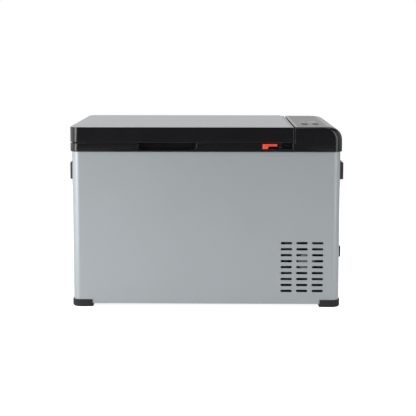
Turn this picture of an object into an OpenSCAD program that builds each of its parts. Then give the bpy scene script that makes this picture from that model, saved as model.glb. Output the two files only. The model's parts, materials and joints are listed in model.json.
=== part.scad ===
// Portable compressor cooler: a steel-cased chest with a hinged lid over an
// insulated tub, and a machinery compartment at its right-hand end.
// Frame: +Z is up, the user stands at -Y, and the origin is on the floor
// under the middle of the overall box. All sizes are in millimetres.

/* [Overall] */
// Width over the black top band, without the side handles
band_w = 580; // [480:5:700]
// Depth over the black top band, without the hinges
band_d = 366; // [320:2:440]
// Height from the floor to the lid's top
total_h = 390; // [330:2:470]
// Plan radius of the top band's corners
corner_r = 20; // [14:1:28]
// Height of the casing's lower edge above the floor
floor_gap = 7; // [5:0.5:12]

/* [Casing and insulation] */
// Step from the top band in to the steel casing
body_inset = 3.5; // [3.3:0.1:5]
// Thickness of the casing sheet
shell_t = 0.8; // [0.6:0.1:1.2]
// Thickness of the foam around the tub
foam_t = 33; // [24:1:42]
// Thickness of the foam under the tub
foam_floor_t = 38; // [28:1:50]
// Wall of the tub's liner
liner_t = 2; // [1.5:0.1:3]
// Inner plan radius of the tub's corners
tub_r = 22; // [16:1:30]
// Inner width of the machinery compartment
compartment_w = 131.5; // [126:0.5:160]

/* [Top band and lid] */
// Height of the lid, from its lower edge to its top
lid_h = 34; // [30:1:44]
// Open seam between the lid and the top band
seam_gap = 2; // [1.5:0.1:3]
// Height of the top band under the seam
band_h = 18; // [16:1:26]
// Width of the raised housing beside the lid
housing_w = 101; // [96:1:120]
// Radius of the housing's upper right edge
housing_round = 28; // [16:1:32]
// Radius of the housing's front and back upper edges
housing_edge = 4; // [2:0.5:8]
// Wall of the lid and of the raised housing
wall_t = 3; // [2.4:0.1:3.4]
// Depth of the lid's plug below the lid's lower edge
lid_plug_h = 14; // [8:1:22]

/* [Grip and latch] */
// Width of the finger scoop in the top band
scoop_w = 125; // [90:1:160]
// Distance of the scoop's middle from the band's left side
scoop_from_left = 207; // [150:1:260]
// Depth of the finger scoop
scoop_depth = 20; // [14:1:26]
// Width of the latch pocket
latch_pocket_w = 66; // [60:1:80]
// Travel of the latch slider
latch_travel = 20; // [14:1:23]

/* [Vents and cooling] */
// Rows of vent slots
vent_rows = 9; // [5:1:9]
// Columns of vent slots
vent_cols = 3; // [2:1:3]
// Length of a vent slot
slot_l = 24.5; // [16:0.5:26]
// Height of a vent slot
slot_h = 5; // [3:0.1:6]
// Spacing of the vent rows
row_pitch = 13; // [10:0.5:14]
// Spacing of the vent columns
col_pitch = 33.4; // [30:0.2:35]
// Side of the square fan
fan_size = 92; // [80:1:92]
// Radius of the compressor's can
compressor_r = 52; // [44:1:54]
// Height of the compressor's can
compressor_h = 118; // [100:1:130]

/* [Handles, feet and inlet] */
// How far a side handle stands out from the casing
handle_out = 20; // [18:1:32]
// Length of a side handle
handle_l = 156; // [120:2:200]
// Height of a side handle
handle_h = 40; // [34:1:54]
// Drop from the top band's lower edge to the handle's top
handle_drop = 34; // [10:1:80]
// Height of a corner foot
foot_h = 16; // [12:1:22]
// Length of a foot along each side of its corner
foot_l = 42; // [34:1:60]
// Height of the power inlet's middle above the floor
inlet_z = 111; // [80:1:140]
// Distance of the power inlet's middle behind the casing's front
inlet_y = 80; // [78:1:100]

/* [Basket] */
// Height of the basket's wall
basket_h = 196; // [120:2:220]
// Thickness of the basket's bars
bar_t = 2.4; // [2:0.1:3]
// Spacing of the basket's bars
bar_pitch = 32; // [20:1:45]

/* [Hidden] */
$fn = 48;

// Clearances and small screws
fit = 0.3;
slip = 0.05;
screw_r = 1.5;
screw_hole_r = 1.7;

// Hinges
hinge_r = 5;
hinge_pin_r = 2;
hinge_w = 60;
leaf_t = 2;
hinge_out = hinge_r + 0.5;
hinge_proud = hinge_out + hinge_r;
hinge_from_side = 90;

// Heights, from the floor up
pan_t = 2;
pan_z1 = floor_gap + pan_t;
tub_z0 = pan_z1 + foam_floor_t + liner_t;
seam_z = total_h - lid_h - seam_gap;
lid_z0 = seam_z + seam_gap;
band_z0 = seam_z - band_h;
deck_t = 3;
deck_z0 = seam_z - deck_t;
shell_z1 = deck_z0 - 3;
foam_z1 = band_z0 - 1;
housing_z1 = total_h - 1;
slice_t = 0.01;

// Plan of the black band
y_front = -(band_d + hinge_proud) / 2;
y_back = y_front + band_d;
band_a = [-band_w / 2, y_front];
band_b = [band_w / 2, y_back];
housing_x0 = band_w / 2 - housing_w;
lid_gap_x = 2.5;
lid_x1 = housing_x0 - lid_gap_x;
skirt_t = body_inset - fit;

// Plan of the casing and of what it holds
body_r = corner_r - body_inset;
body_a = band_a + [body_inset, body_inset];
body_b = band_b - [body_inset, body_inset];
front_in = body_a.y + shell_t;
panel_y0 = body_b.y - 2 * shell_t;
bay_x1 = body_b.x - shell_t;
bay_x0 = bay_x1 - compartment_w;
bulkhead_t = 1;
wrap_return = body_r + 13;
panel_gap = 3;

// Plan of the tub
tub_a = [body_a.x + shell_t + foam_t + liner_t, front_in + foam_t + liner_t];
tub_b = [bay_x0 - bulkhead_t - foam_t - liner_t, panel_y0 - foam_t - liner_t];
tub_y_mid = (tub_a.y + tub_b.y) / 2;
tub_flange_w = 12;

// Lid
plate_edge = 1.5;
plate_strip = 7.5;
plate_t = 0.8;
plate_bevel = 1.6;
plate_h = 3.2;
plate_z0 = total_h - plate_h;
lid_rim_z1 = total_h - plate_bevel - 0.2;
lid_deck_z0 = plate_z0 - 2;
inner_z0 = lid_z0 + 6;
inner_t = 2;
plug_gap = 8;
plug_z0 = lid_z0 - lid_plug_h;
gasket_w = 12;
gasket_gap = 0.15;

// Scoop and latch
scoop_x0 = band_a.x + scoop_from_left - scoop_w / 2;
scoop_x1 = scoop_x0 + scoop_w;
pocket_wall = 2;
pocket_z0 = band_z0 + 2.8;
scoop_r = 10;
latch_x1 = lid_x1 - 1.5;
latch_x0 = latch_x1 - latch_pocket_w;
latch_z0 = band_z0 + 6;
latch_depth = 13;
notch_z0 = band_z0 + 0.5;
slider_side = 1;
slider_l = 31;
slider_head = 12;
slider_arm_h = 5.2;
slider_z1 = seam_z - 1;
slider_y0 = 0.6;
slider_y1 = 7.6;
stem_w = 8;
stem_x = latch_x0 + 2.5;
keeper_x = latch_x0 + slider_side + max(slider_l, slider_head + latch_travel) + 2;
keeper_w = 6.5;

// Control panel on the housing
panel_a = [housing_x0 + 7.5, y_front + 12];
panel_b = [band_b.x - housing_round - 4, y_back - 12];
panel_t = 1.2;
panel_x = (panel_a.x + panel_b.x) / 2;
panel_y = (panel_a.y + panel_b.y) / 2;
window_w = 46;
window_d = 34;
window_ledge = 2;
window_y = panel_y - 30;
button_r = 6.5;
button_proud = 0.8;
button_stem = 5;
button_travel = 0.7;
button_dx = 12;
button_y = [window_y - 50, window_y - 76];
board_z = housing_z1 - 14;

// Vents, fan and condenser
vent_x = body_b.x - 80.7;
vent_z = 87.7;
fan_x = bay_x1 - 70.5;
fan_z = 99;
fan_t = 25;
fan_y = front_in + 3;
fan_bore_r = fan_size / 2 - 3;
fan_hub_r = 21;
shaft_r = 2;
fin_x0 = bay_x0 + 20;
fin_x1 = fin_x0 + 80;
fin_t = 0.4;
fin_pitch = 4;
tab_t = 1.5;
tab_w = 13;
condenser_y0 = fan_y + fan_t + tab_t + 2.5;
condenser_d = 30;
condenser_z0 = 49;
condenser_h = 100;
coil_r = 3.5;
coil_pitch = 20;
coil_rows = 5;
coil_z1 = condenser_z0 + condenser_h - 10;
coil_y = [condenser_y0 + 7.5, condenser_y0 + 22.5];

// Compressor and its mountings
compressor_x = bay_x0 + 68;
compressor_y = (body_a.y + body_b.y) / 2 + 8;
compressor_z0 = pan_z1 + 21;
compressor_z1 = compressor_z0 + compressor_h;
compressor_wall = 3;
seam_flange = 3;
grommet_h = 14;
bracket_t = 2.5;
bracket_half = 42;
bolt_r = 2.5;
inverter_d = 70;
inverter_y0 = panel_y0 - 14 - inverter_d;
inverter_x = [bay_x0 + 26, bay_x0 + 108];
inverter_z1 = 90;

// Refrigerant tubes
pipe_r = 3.5;
pipe_rise = 34;
drier_rise = 24;
capillary_r = 1.2;
evaporator_t = 1;
evaporator_z0 = tub_z0 + 40;
loop_pitch = 40;
loops = 4;
evaporator_h = loops * loop_pitch;
stub_hole_r = 6;
loop_out = liner_t + evaporator_t + 0.2 + coil_r;
stub_x = bay_x0 + 6;
stub_y = tub_y_mid + 40;
stub_bend = 16;
recess_out = 10;
drier_x = bay_x0 + 21;
drier_y = front_in + 100;
drier_z0 = 170;
drier_l = 70;
drier_r = 9;

// Handles
handle_z = band_z0 - handle_drop - handle_h;
handle_flange_t = 2.5;
handle_wall = 3;
handle_end = 14;
handle_taper = 26;
handle_roof = 1;
handle_chamfer = 2.5;

// Inlet
inlet_out = 8;
inlet_w = 34;
inlet_h = 22;
inlet_in = 22;
inlet_slope = 3.5;
socket_w = 26;
socket_h = 16;
contact_r = 1.4;
contact_pitch = 7;
inlet_zs = [inlet_z - inlet_h / 2, inlet_z + inlet_h / 2];
inlet_ymid = body_a.y + inlet_y;

// Feet
foot_over = 2;
foot_screw_in = 24;

// Drain
drain_x = tub_a.x + 45;
drain_r = 7;
drain_z = tub_z0 + drain_r + 1;
plug_head_r = 11;
plug_head_t = 4;

// Basket
basket_gap = 9;
basket_z0 = tub_z0 + 0.5;
basket_a = tub_a + [basket_gap, basket_gap];
basket_b = tub_b - [basket_gap, basket_gap];
basket_split = 0.1;

// Lamp cover
lens_w = 44;
lens_h = 12;
lens_t = 3;
lens_drop = 22;

// ---------------------------------------------------------------- helpers

// Box between two opposite corners
module block(a, b) translate(a) cube(b - a);

// Rectangle between two corners, with round corners of radius r
module round_rect(a, b, r) {
    translate([a.x + r, a.y]) square([b.x - a.x - 2 * r, b.y - a.y]);
    translate([a.x, a.y + r]) square([b.x - a.x, b.y - a.y - 2 * r]);
    for (x = [a.x + r, b.x - r], y = [a.y + r, b.y - r])
        translate([x, y]) circle(r);
}

// The same rectangle raised from z0 to z1
module round_block(a, b, r, z0, z1)
    translate([0, 0, z0]) linear_extrude(z1 - z0) round_rect(a, b, r);

// A drawing in X and Z carried along Y from y0 to y1
module along_y(y0, y1)
    translate([0, y1, 0]) rotate([90, 0, 0]) linear_extrude(y1 - y0) children();

// Rod along Y
module rod_y(x, z, r, y0, y1)
    translate([x, y0, z]) rotate([-90, 0, 0]) cylinder(r = r, h = y1 - y0);

// Rod along X
module rod_x(y, z, r, x0, x1)
    translate([x0, y, z]) rotate([0, 90, 0]) cylinder(r = r, h = x1 - x0);

// Rod along Z
module rod_z(x, y, r, z0, z1)
    translate([x, y, z0]) cylinder(r = r, h = z1 - z0);

function unit(v) = v / norm(v);

// Quadratic curve that rounds the corner at b, starting and ending r away from it
function corner(a, b, c, r, n) =
    let (u = unit(a - b), v = unit(c - b))
    [for (i = [0:n]) let (s = i / n)
        pow(1 - s, 2) * (b + r * u) + 2 * s * (1 - s) * b + s * s * (b + r * v)];

// The largest rounding up to r that the straight stretches beside b leave room for
function room(a, b, c, r) = min(r, 0.49 * norm(a - b), 0.49 * norm(c - b));

// A route through points p with every corner rounded
function rounded_route(p, r, n = 4) = concat(
    [p[0]],
    [for (i = [1:len(p) - 2])
        each corner(p[i - 1], p[i], p[i + 1], room(p[i - 1], p[i], p[i + 1], r), n)],
    [p[len(p) - 1]]);

function heading(p, i) = unit(p[min(i + 1, len(p) - 1)] - p[max(i - 1, 0)]);

// A direction square to the route at each point, carried along without twist
function carried(p, i = 0, n = undef) =
    let (t = heading(p, i),
        first = abs(t.z) < 0.9 ? [0, 0, 1] : [1, 0, 0],
        was = n == undef ? first : n,
        m = unit(was - (was * t) * t))
    i == len(p) - 1 ? [m] : concat([m], carried(p, i + 1, m));

// Round tube of radius r along the route p
module tube_along(p, r, sides = 8) {
    n = carried(p);
    rings = [for (i = [0:len(p) - 1], k = [0:sides - 1])
        let (b = cross(heading(p, i), n[i]), a = 360 * k / sides)
        p[i] + r * (cos(a) * n[i] + sin(a) * b)];
    walls = [for (i = [0:len(p) - 2], k = [0:sides - 1])
        let (m = (k + 1) % sides)
        [i * sides + k, (i + 1) * sides + k, (i + 1) * sides + m, i * sides + m]];
    last = (len(p) - 1) * sides;
    caps = [[for (k = [0:sides - 1]) k],
        [for (k = [0:sides - 1]) last + sides - 1 - k]];
    polyhedron(rings, concat(walls, caps));
}

// Pan-head screw along +Z: its head's underside is at z = 0
module pan_screw(r, l, head_r, head_h) {
    translate([0, 0, -l]) cylinder(r = r, h = l);
    cylinder(r = head_r, h = head_h);
}

// ------------------------------------------------------- casing and tub

module slot_grid(y0, y1)
    for (i = [0:vent_cols - 1], k = [0:vent_rows - 1]) {
        x = vent_x + (i - (vent_cols - 1) / 2) * col_pitch;
        z = vent_z + (k - (vent_rows - 1) / 2) * row_pitch;
        flat = slot_l - slot_h;
        block([x - flat / 2, y0, z - slot_h / 2], [x + flat / 2, y1, z + slot_h / 2]);
        rod_y(x - flat / 2, z, slot_h / 2, y0, y1);
        rod_y(x + flat / 2, z, slot_h / 2, y0, y1);
    }

// Heights and sides of the screws that hold the rear panel
rear_screw_z = [for (i = [0:3]) floor_gap + 18 + i * (foam_z1 - floor_gap - 36) / 3];
rear_screw_x = body_b.x - body_r - 6;

// Handle screws, as offsets along Y and Z from the handle's middle
handle_y = (body_a.y + body_b.y) / 2;
handle_screw_y = handle_l / 2 - 7;
handle_screw_z = [handle_z + 9, handle_z + handle_h - 9];

// Sheet wrapped round the front and both sides, with two returns at the back
module outer_casing() color("silver") difference() {
    round_block(body_a, body_b, body_r, floor_gap, shell_z1);
    round_block(body_a + [shell_t, shell_t], body_b - [shell_t, shell_t],
        body_r - shell_t, floor_gap - 1, shell_z1 + 1);
    block([body_a.x + wrap_return, body_b.y - body_r, floor_gap - 1],
        [body_b.x - wrap_return, body_b.y + 1, shell_z1 + 1]);
    slot_grid(body_a.y - 1, front_in + 1);
    block([scoop_x0 - pocket_wall - fit, body_a.y - 1, notch_z0],
        [scoop_x1 + pocket_wall + fit, front_in + 1, shell_z1 + 1]);
    block([latch_x0 - pocket_wall - fit, body_a.y - 1, notch_z0],
        [latch_x1 + pocket_wall + fit, front_in + 1, shell_z1 + 1]);
    block([bay_x1 - 1, inlet_ymid - inlet_w / 2 + 1, inlet_zs[0] + 1],
        [body_b.x + 1, inlet_ymid + inlet_w / 2 - 1, inlet_zs[1] - 1]);
    for (x = [-1, 1] * rear_screw_x, z = rear_screw_z)
        rod_y(x, z, screw_hole_r, body_b.y - shell_t - 1, body_b.y + 1);
    for (y = [-1, 1] * handle_screw_y, z = handle_screw_z)
        rod_x(handle_y + y, z, screw_hole_r, body_a.x - 1, body_b.x + 1);
}

// Flat sheet behind the wrap's returns, with the outlet slots of the compartment
module rear_panel() color("silver") difference() {
    block([-body_b.x + body_r + 1, panel_y0, pan_z1 + 0.2],
        [body_b.x - body_r - 1, panel_y0 + shell_t, shell_z1]);
    slot_grid(panel_y0 - 1, panel_y0 + shell_t + 1);
    rod_y(drain_x, drain_z, drain_r + 0.5, panel_y0 - 1, panel_y0 + shell_t + 1);
    for (x = [-1, 1] * rear_screw_x, z = rear_screw_z)
        rod_y(x, z, screw_hole_r, panel_y0 - 1, panel_y0 + shell_t + 1);
}

module rear_screws() color("dimgray")
    for (x = [-1, 1] * rear_screw_x, z = rear_screw_z)
        translate([x, body_b.y, z]) rotate([-90, 0, 0])
            pan_screw(screw_r, 2 * shell_t + 2, 3.4, 1.8);

// Moulded pan that closes the casing from below
module base_pan() color("dimgray") difference() {
    inset = shell_t + 0.2;
    round_block(body_a + [inset, inset], body_b - [inset, shell_t + shell_t + 0.2],
        body_r - inset, floor_gap, pan_z1);
    for (x = [-1, 1], y = [0, 1])
        rod_z(x * (body_b.x - foot_screw_in),
            y == 0 ? body_a.y + foot_screw_in : body_b.y - foot_screw_in,
            1.8, floor_gap - 1, pan_z1 + 1);
    for (p = grommet_spots) rod_z(p.x, p.y, bolt_r + 0.2, floor_gap - 1, pan_z1 + 1);
    for (i = [0:4])
        block([compressor_x - 40, compressor_y - 24 + i * 12 - 2, floor_gap - 1],
            [compressor_x + 40, compressor_y - 24 + i * 12 + 2, pan_z1 + 1]);
}

// Insulation between the casing and the tub
module foam_block() color("khaki") difference() {
    skin = shell_t + fit;
    intersection() {
        round_block(body_a + [skin, skin], body_b - [skin, skin], body_r - skin,
            pan_z1, foam_z1);
        block([body_a.x, body_a.y, pan_z1],
            [bay_x0 - bulkhead_t, panel_y0 - panel_gap, foam_z1]);
    }
    round_block(tub_a - [liner_t, liner_t], tub_b + [liner_t, liner_t],
        tub_r + liner_t, tub_z0 - liner_t, foam_z1 + 1);
    out = liner_t + recess_out;
    round_block(tub_a - [out, out], tub_b + [out, out], tub_r,
        evaporator_z0 - 10, evaporator_z0 + evaporator_h + 6);
    rod_y(drain_x, drain_z, drain_r + 3, tub_b.y, body_b.y);
    for (z = stub_z) {
        rod_x(stub_y, z, stub_hole_r, tub_b.x, bay_x0 + 1);
        block([tub_b.x, stub_y, z - stub_hole_r],
            [tub_b.x + out + 5, stub_y + stub_bend, z + stub_hole_r]);
    }
    for (y = [-1, 1] * handle_screw_y, z = handle_screw_z)
        rod_x(handle_y + y, z, 4, body_a.x - 1, body_a.x + shell_t + 8);
}

// Tub with a top flange, and a drain spout through its back wall
module tub_liner() color("whitesmoke") difference() {
    union() {
        round_block(tub_a - [liner_t, liner_t], tub_b + [liner_t, liner_t],
            tub_r + liner_t, tub_z0 - liner_t, deck_z0);
        round_block(tub_a - [tub_flange_w, tub_flange_w], tub_b + [tub_flange_w, tub_flange_w],
            tub_r + tub_flange_w, deck_z0 - liner_t, deck_z0);
        rod_y(drain_x, drain_z, drain_r + 2, tub_b.y + liner_t / 2, panel_y0 - 0.2);
    }
    round_block(tub_a, tub_b, tub_r, tub_z0, deck_z0 + 1);
    rod_y(drain_x, drain_z, drain_r, tub_b.y - 1, body_b.y);
}

// Partition between the foam and the machinery
module bulkhead() color("lightgray") difference() {
    block([bay_x0 - bulkhead_t, front_in + 0.2, pan_z1],
        [bay_x0, panel_y0 - 0.2, foam_z1]);
    for (z = stub_z) rod_x(stub_y, z, stub_hole_r, bay_x0 - bulkhead_t - 1, bay_x0 + 1);
}

// ------------------------------------------------------------ evaporator

stub_z = [evaporator_z0 + loop_pitch / 2, evaporator_z0 + (loops - 0.5) * loop_pitch];

// One turn of the evaporator tube round the tub, from its front end to its rear end
function turn(z) = let (
    a = tub_a - [loop_out, loop_out],
    b = tub_b + [loop_out, loop_out]) [
        [b.x, stub_y - 70, z], [b.x, a.y, z], [a.x, a.y, z],
        [a.x, b.y, z], [b.x, b.y, z], [b.x, stub_y, z]];

function backwards(p) = [for (i = [len(p) - 1:-1:0]) p[i]];

module evaporator_sheet() color("gainsboro") difference() {
    near = liner_t + 0.1;
    far = near + evaporator_t;
    round_block(tub_a - [far, far], tub_b + [far, far], tub_r + far,
        evaporator_z0, evaporator_z0 + evaporator_h);
    round_block(tub_a - [near, near], tub_b + [near, near], tub_r + near,
        evaporator_z0 - 1, evaporator_z0 + evaporator_h + 1);
    block([tub_b.x, stub_y - 60, evaporator_z0 - 1],
        [tub_b.x + 10, stub_y - 10, evaporator_z0 + evaporator_h + 1]);
}

module evaporator_tube() color("peru") {
    z = [for (i = [0:loops - 1]) stub_z[0] + i * loop_pitch];
    route = concat(
        [[stub_x, stub_y - stub_bend, z[0]], [stub_x, stub_y, z[0]]],
        [for (i = [0:loops - 1]) each (i % 2 == 0 ? backwards(turn(z[i])) : turn(z[i]))],
        [[stub_x, stub_y, z[loops - 1]]]);
    tube_along(rounded_route(route, tub_r + 4, 3), coil_r);
}

// ------------------------------------------------- top band and controls

// How far an edge of radius r has come in at depth h below the top
function edge_in(r, h) = h >= r ? 0 : r - sqrt(r * r - (r - h) * (r - h));

// Raised housing from z0 up, moved in by t all round, with its upper edges rounded
module housing_shape(t, z0) hull() for (a = [-10:10:90]) {
    h = housing_round * (1 - sin(max(a, 0)));
    translate([0, 0, a < 0 ? z0 : housing_z1 - t - h - slice_t])
        linear_extrude(slice_t) intersection() {
            round_rect(band_a + [t, t + edge_in(housing_edge, h)],
                band_b - [t + edge_in(housing_round, h), t + edge_in(housing_edge, h)],
                corner_r - t);
            translate([housing_x0 + t, y_front]) square([housing_w, band_d]);
        }
}

module scoop_outline(t) {
    z0 = pocket_z0 - t;
    translate([scoop_x0 + scoop_r, z0]) square([scoop_w - 2 * scoop_r, 30]);
    translate([scoop_x0 - t, pocket_z0 + scoop_r]) square([scoop_w + 2 * t, 30]);
    for (x = [scoop_x0 + scoop_r, scoop_x1 - scoop_r])
        translate([x, pocket_z0 + scoop_r]) circle(scoop_r + t);
}

module latch_pocket(t)
    block([latch_x0 - t, y_front - 1 + t, latch_z0 - t],
        [latch_x1 + t, y_front + latch_depth + t, seam_z + 1 - t]);

// Ring under the lid and the raised housing beside it, as one moulding
module top_band() color("dimgray") difference() {
    union() {
        difference() {
            union() {
                round_block(band_a, band_b, corner_r, band_z0, seam_z);
                housing_shape(0, seam_z);
            }
            round_block(band_a + [skirt_t, skirt_t], band_b - [skirt_t, skirt_t],
                corner_r - skirt_t, band_z0 - 1, deck_z0);
            housing_shape(max(skirt_t, wall_t) + fit, deck_z0 - 0.1);
        }
        intersection() {
            along_y(y_front + skirt_t - 1, y_front + scoop_depth + pocket_wall)
                scoop_outline(pocket_wall);
            block([band_a.x, y_front, band_z0 + 0.8], [band_b.x, y_back, deck_z0 + 1]);
        }
        block([latch_x0 - pocket_wall, y_front + skirt_t - 1, latch_z0 - pocket_wall],
            [latch_x1 + pocket_wall, y_front + latch_depth + pocket_wall, deck_z0 + 1]);
    }
    along_y(y_front - 1, y_front + scoop_depth) scoop_outline(0);
    latch_pocket(0);
    block([stem_x - fit, y_front + latch_depth - 1, slider_z1 - 8 - fit],
        [stem_x + stem_w + latch_travel + fit, y_front + latch_depth + pocket_wall + 1,
            slider_z1 - 3 + fit]);
    round_block(tub_a, tub_b, tub_r, deck_z0 - 1, seam_z + 1);
    block([panel_a.x, panel_a.y, housing_z1 - panel_t],
        [panel_b.x, panel_b.y, housing_z1 + 1]);
    block([panel_x - window_w / 2 + window_ledge, window_y - window_d / 2 + window_ledge,
            housing_z1 - 2 * wall_t],
        [panel_x + window_w / 2 - window_ledge, window_y + window_d / 2 - window_ledge,
            housing_z1]);
    for (p = button_spots) rod_z(p.x, p.y, button_stem + fit, housing_z1 - 2 * wall_t, housing_z1);
}

button_spots = [for (y = button_y, s = [-1, 1]) [panel_x + s * button_dx, y]];

module control_panel() color("black") difference() {
    block([panel_a.x + 0.1, panel_a.y + 0.1, housing_z1 - panel_t],
        [panel_b.x - 0.1, panel_b.y - 0.1, housing_z1]);
    block([panel_x - window_w / 2, window_y - window_d / 2, housing_z1 - panel_t - 1],
        [panel_x + window_w / 2, window_y + window_d / 2, housing_z1 + 1]);
    for (p = button_spots)
        rod_z(p.x, p.y, button_r + fit, housing_z1 - panel_t - 1, housing_z1 + 1);
}

module display_window() color("darkslategray")
    block([panel_x - window_w / 2 + 0.1, window_y - window_d / 2 + 0.1, housing_z1 - panel_t],
        [panel_x + window_w / 2 - 0.1, window_y + window_d / 2 - 0.1, housing_z1]);

// Key cap on a stem that goes through the housing to its switch
module button(i) color("gray") {
    p = button_spots[i];
    rod_z(p.x, p.y, button_r, housing_z1 - panel_t + button_travel + 0.1,
        housing_z1 + button_proud);
    rod_z(p.x, p.y, button_stem, board_z + 3 + button_travel + 0.1, housing_z1);
}

module control_board() color("darkgreen") {
    block([panel_a.x + 2, button_y[1] - 16, board_z - 1.6],
        [panel_b.x - 2, window_y + window_d / 2 + 10, board_z]);
    for (p = button_spots) block([p.x - 3, p.y - 3, board_z], [p.x + 3, p.y + 3, board_z + 3]);
    block([panel_x - window_w / 2 + 3, window_y - window_d / 2 + 3, board_z],
        [panel_x + window_w / 2 - 3, window_y + window_d / 2 - 3, board_z + 8]);
}

// ----------------------------------------------------- fan and condenser

module fan_frame() color("black") difference() {
    union() {
        difference() {
            block([fan_x - fan_size / 2, fan_y, fan_z - fan_size / 2],
                [fan_x + fan_size / 2, fan_y + fan_t, fan_z + fan_size / 2]);
            rod_y(fan_x, fan_z, fan_bore_r, fan_y - 1, fan_y + fan_t + 1);
        }
        rod_y(fan_x, fan_z, fan_hub_r, fan_y, fan_y + 4);
        for (a = [0:3]) translate([fan_x, fan_y, fan_z]) rotate([0, 45 + 90 * a, 0])
            block([fan_hub_r - 2, 0, -2], [fan_bore_r + 1, 3, 2]);
        rod_y(fan_x, fan_z, 5, fan_y + 3, fan_y + 12);
    }
    rod_y(fan_x, fan_z, shaft_r + slip, fan_y + 2, fan_y + 13);
    for (p = fan_hole_spots) rod_y(p.x, p.y, 2.2, fan_y - 1, fan_y + fan_t + 1);
}

fan_hole = fan_size / 2 - 4.75;
fan_hole_spots = [for (x = [-1, 1] * fan_hole, z = [-1, 1] * fan_hole)
    [fan_x + x, fan_z + z]];

// Four long screws from the fan's face into the tabs behind it
module fan_screws() color("silver") for (p = fan_hole_spots)
    translate([p.x, fan_y, p.y]) rotate([90, 0, 0]) pan_screw(1.9, fan_t + tab_t + 1.5, 3.6, 1.8);

module fan_rotor() color("dimgray") {
    difference() {
        rod_y(fan_x, fan_z, fan_hub_r - 1, fan_y + 5, fan_y + 23);
        rod_y(fan_x, fan_z, fan_hub_r - 3, fan_y + 4, fan_y + 21);
    }
    rod_y(fan_x, fan_z, shaft_r, fan_y + 2.2, fan_y + 22);
    for (a = [0:6]) translate([fan_x, fan_y + 14, fan_z]) rotate([0, a * 360 / 7, 0])
        rotate([38, 0, 0]) block([fan_hub_r - 2, -0.8, -13], [fan_bore_r - 1.5, 0.8, 13]);
}

module condenser_fins() color("gainsboro")
    for (x = [fin_x0:fin_pitch:fin_x1]) difference() {
        block([x, condenser_y0, condenser_z0],
            [x + fin_t, condenser_y0 + condenser_d, condenser_z0 + condenser_h]);
        for (y = coil_y, k = [0:coil_rows - 1])
            rod_x(y, coil_z1 - k * coil_pitch, coil_r + slip, x - 1, x + fin_t + 1);
    }

bracket_sheet = 1.2;
coil_x0 = fin_x0 - 2 - bracket_sheet;
coil_x1 = fin_x1 + fin_t + 2 + bracket_sheet;

// Return bend in the plane of the coil's rows, on the left (s = -1) or right (s = 1)
module return_bend(y, z, s)
    translate([s < 0 ? coil_x0 : coil_x1, y, z - coil_pitch / 2])
        rotate([90, 0, 0]) rotate(s < 0 ? 90 : -90)
            rotate_extrude(angle = 180) translate([coil_pitch / 2, 0]) circle(coil_r);

// Serpentine through the fins: down the rear row, then up the front row
module condenser_tube() color("peru") {
    for (y = coil_y, k = [0:coil_rows - 1])
        rod_x(y, coil_z1 - k * coil_pitch, coil_r, coil_x0, coil_x1);
    for (y = coil_y, k = [0:coil_rows - 2])
        return_bend(y, coil_z1 - k * coil_pitch, k % 2 == 0 ? -1 : 1);
    translate([coil_x0, (coil_y[0] + coil_y[1]) / 2, coil_z1 - (coil_rows - 1) * coil_pitch])
        rotate(90) rotate_extrude(angle = 180)
            translate([(coil_y[1] - coil_y[0]) / 2, 0]) circle(coil_r);
}

// Two end plates that carry the coil and the fan, each with a foot on the pan
module condenser_bracket() color("silver") for (s = [-1, 1]) {
    outer = s < 0 ? fin_x0 - 2 - bracket_sheet : fin_x1 + fin_t + 2;
    tab = s < 0 ? [outer, fan_x - fan_hole + 5.5] : [fan_x + fan_hole - 5.5, outer + bracket_sheet];
    difference() {
        union() {
            block([outer, condenser_y0 - 2.5 - tab_t, pan_z1],
                [outer + bracket_sheet, condenser_y0 + condenser_d,
                    condenser_z0 + condenser_h]);
            block([outer, condenser_y0, pan_z1],
                [outer + 8, condenser_y0 + condenser_d, pan_z1 + bracket_sheet]);
            for (z = [-1, 1] * fan_hole)
                block([tab[0], fan_y + fan_t, fan_z + z - tab_w / 2],
                    [tab[1], fan_y + fan_t + tab_t, fan_z + z + tab_w / 2]);
        }
        for (y = coil_y, k = [0:coil_rows - 1])
            rod_x(y, coil_z1 - k * coil_pitch, coil_r + slip, outer - 1, outer + 3);
        for (p = fan_hole_spots)
            rod_y(p.x, p.y, 1.9, fan_y + fan_t - 1, fan_y + fan_t + tab_t + 4);
    }
}

// ------------------------------------------------------------ compressor

grommet_spots = [for (x = [-1, 1] * bracket_half, y = [-1, 1] * bracket_half)
    [compressor_x + x, compressor_y + y]];

// Half section of a can with a closed, rounded top, in X and Z
module can_section(r, h, round_r) {
    square([r - round_r, h]);
    square([r, h - round_r]);
    translate([r - round_r, h - round_r]) circle(round_r);
}

module half_can(h, round_r) rotate_extrude() difference() {
    can_section(compressor_r, h, round_r);
    can_section(compressor_r - compressor_wall, h - compressor_wall,
        round_r - compressor_wall);
    translate([0, -100]) square([2 * compressor_r, 100]);
}

can_split = compressor_h * 0.45;

module compressor_lower_shell() color("dimgray")
    translate([compressor_x, compressor_y, compressor_z0 + can_split])
        mirror([0, 0, 1]) half_can(can_split, 18);

module compressor_upper_shell() color("dimgray")
    translate([compressor_x, compressor_y, compressor_z0 + can_split]) {
        half_can(compressor_h - can_split, 26);
        difference() {
            cylinder(r = compressor_r + seam_flange, h = 3);
            translate([0, 0, -1]) cylinder(r = compressor_r - 0.5, h = 5);
        }
    }

module compressor_motor() color("chocolate")
    translate([compressor_x, compressor_y, compressor_z0 + compressor_wall + 0.5]) {
        cylinder(r = 14, h = compressor_h - 2 * compressor_wall - 12);
        translate([0, 0, 22]) difference() {
            cylinder(r = 40, h = 44);
            translate([0, 0, -1]) cylinder(r = 22, h = 46);
        }
        translate([0, 0, 26]) cylinder(r = 21, h = 36);
    }

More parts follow.
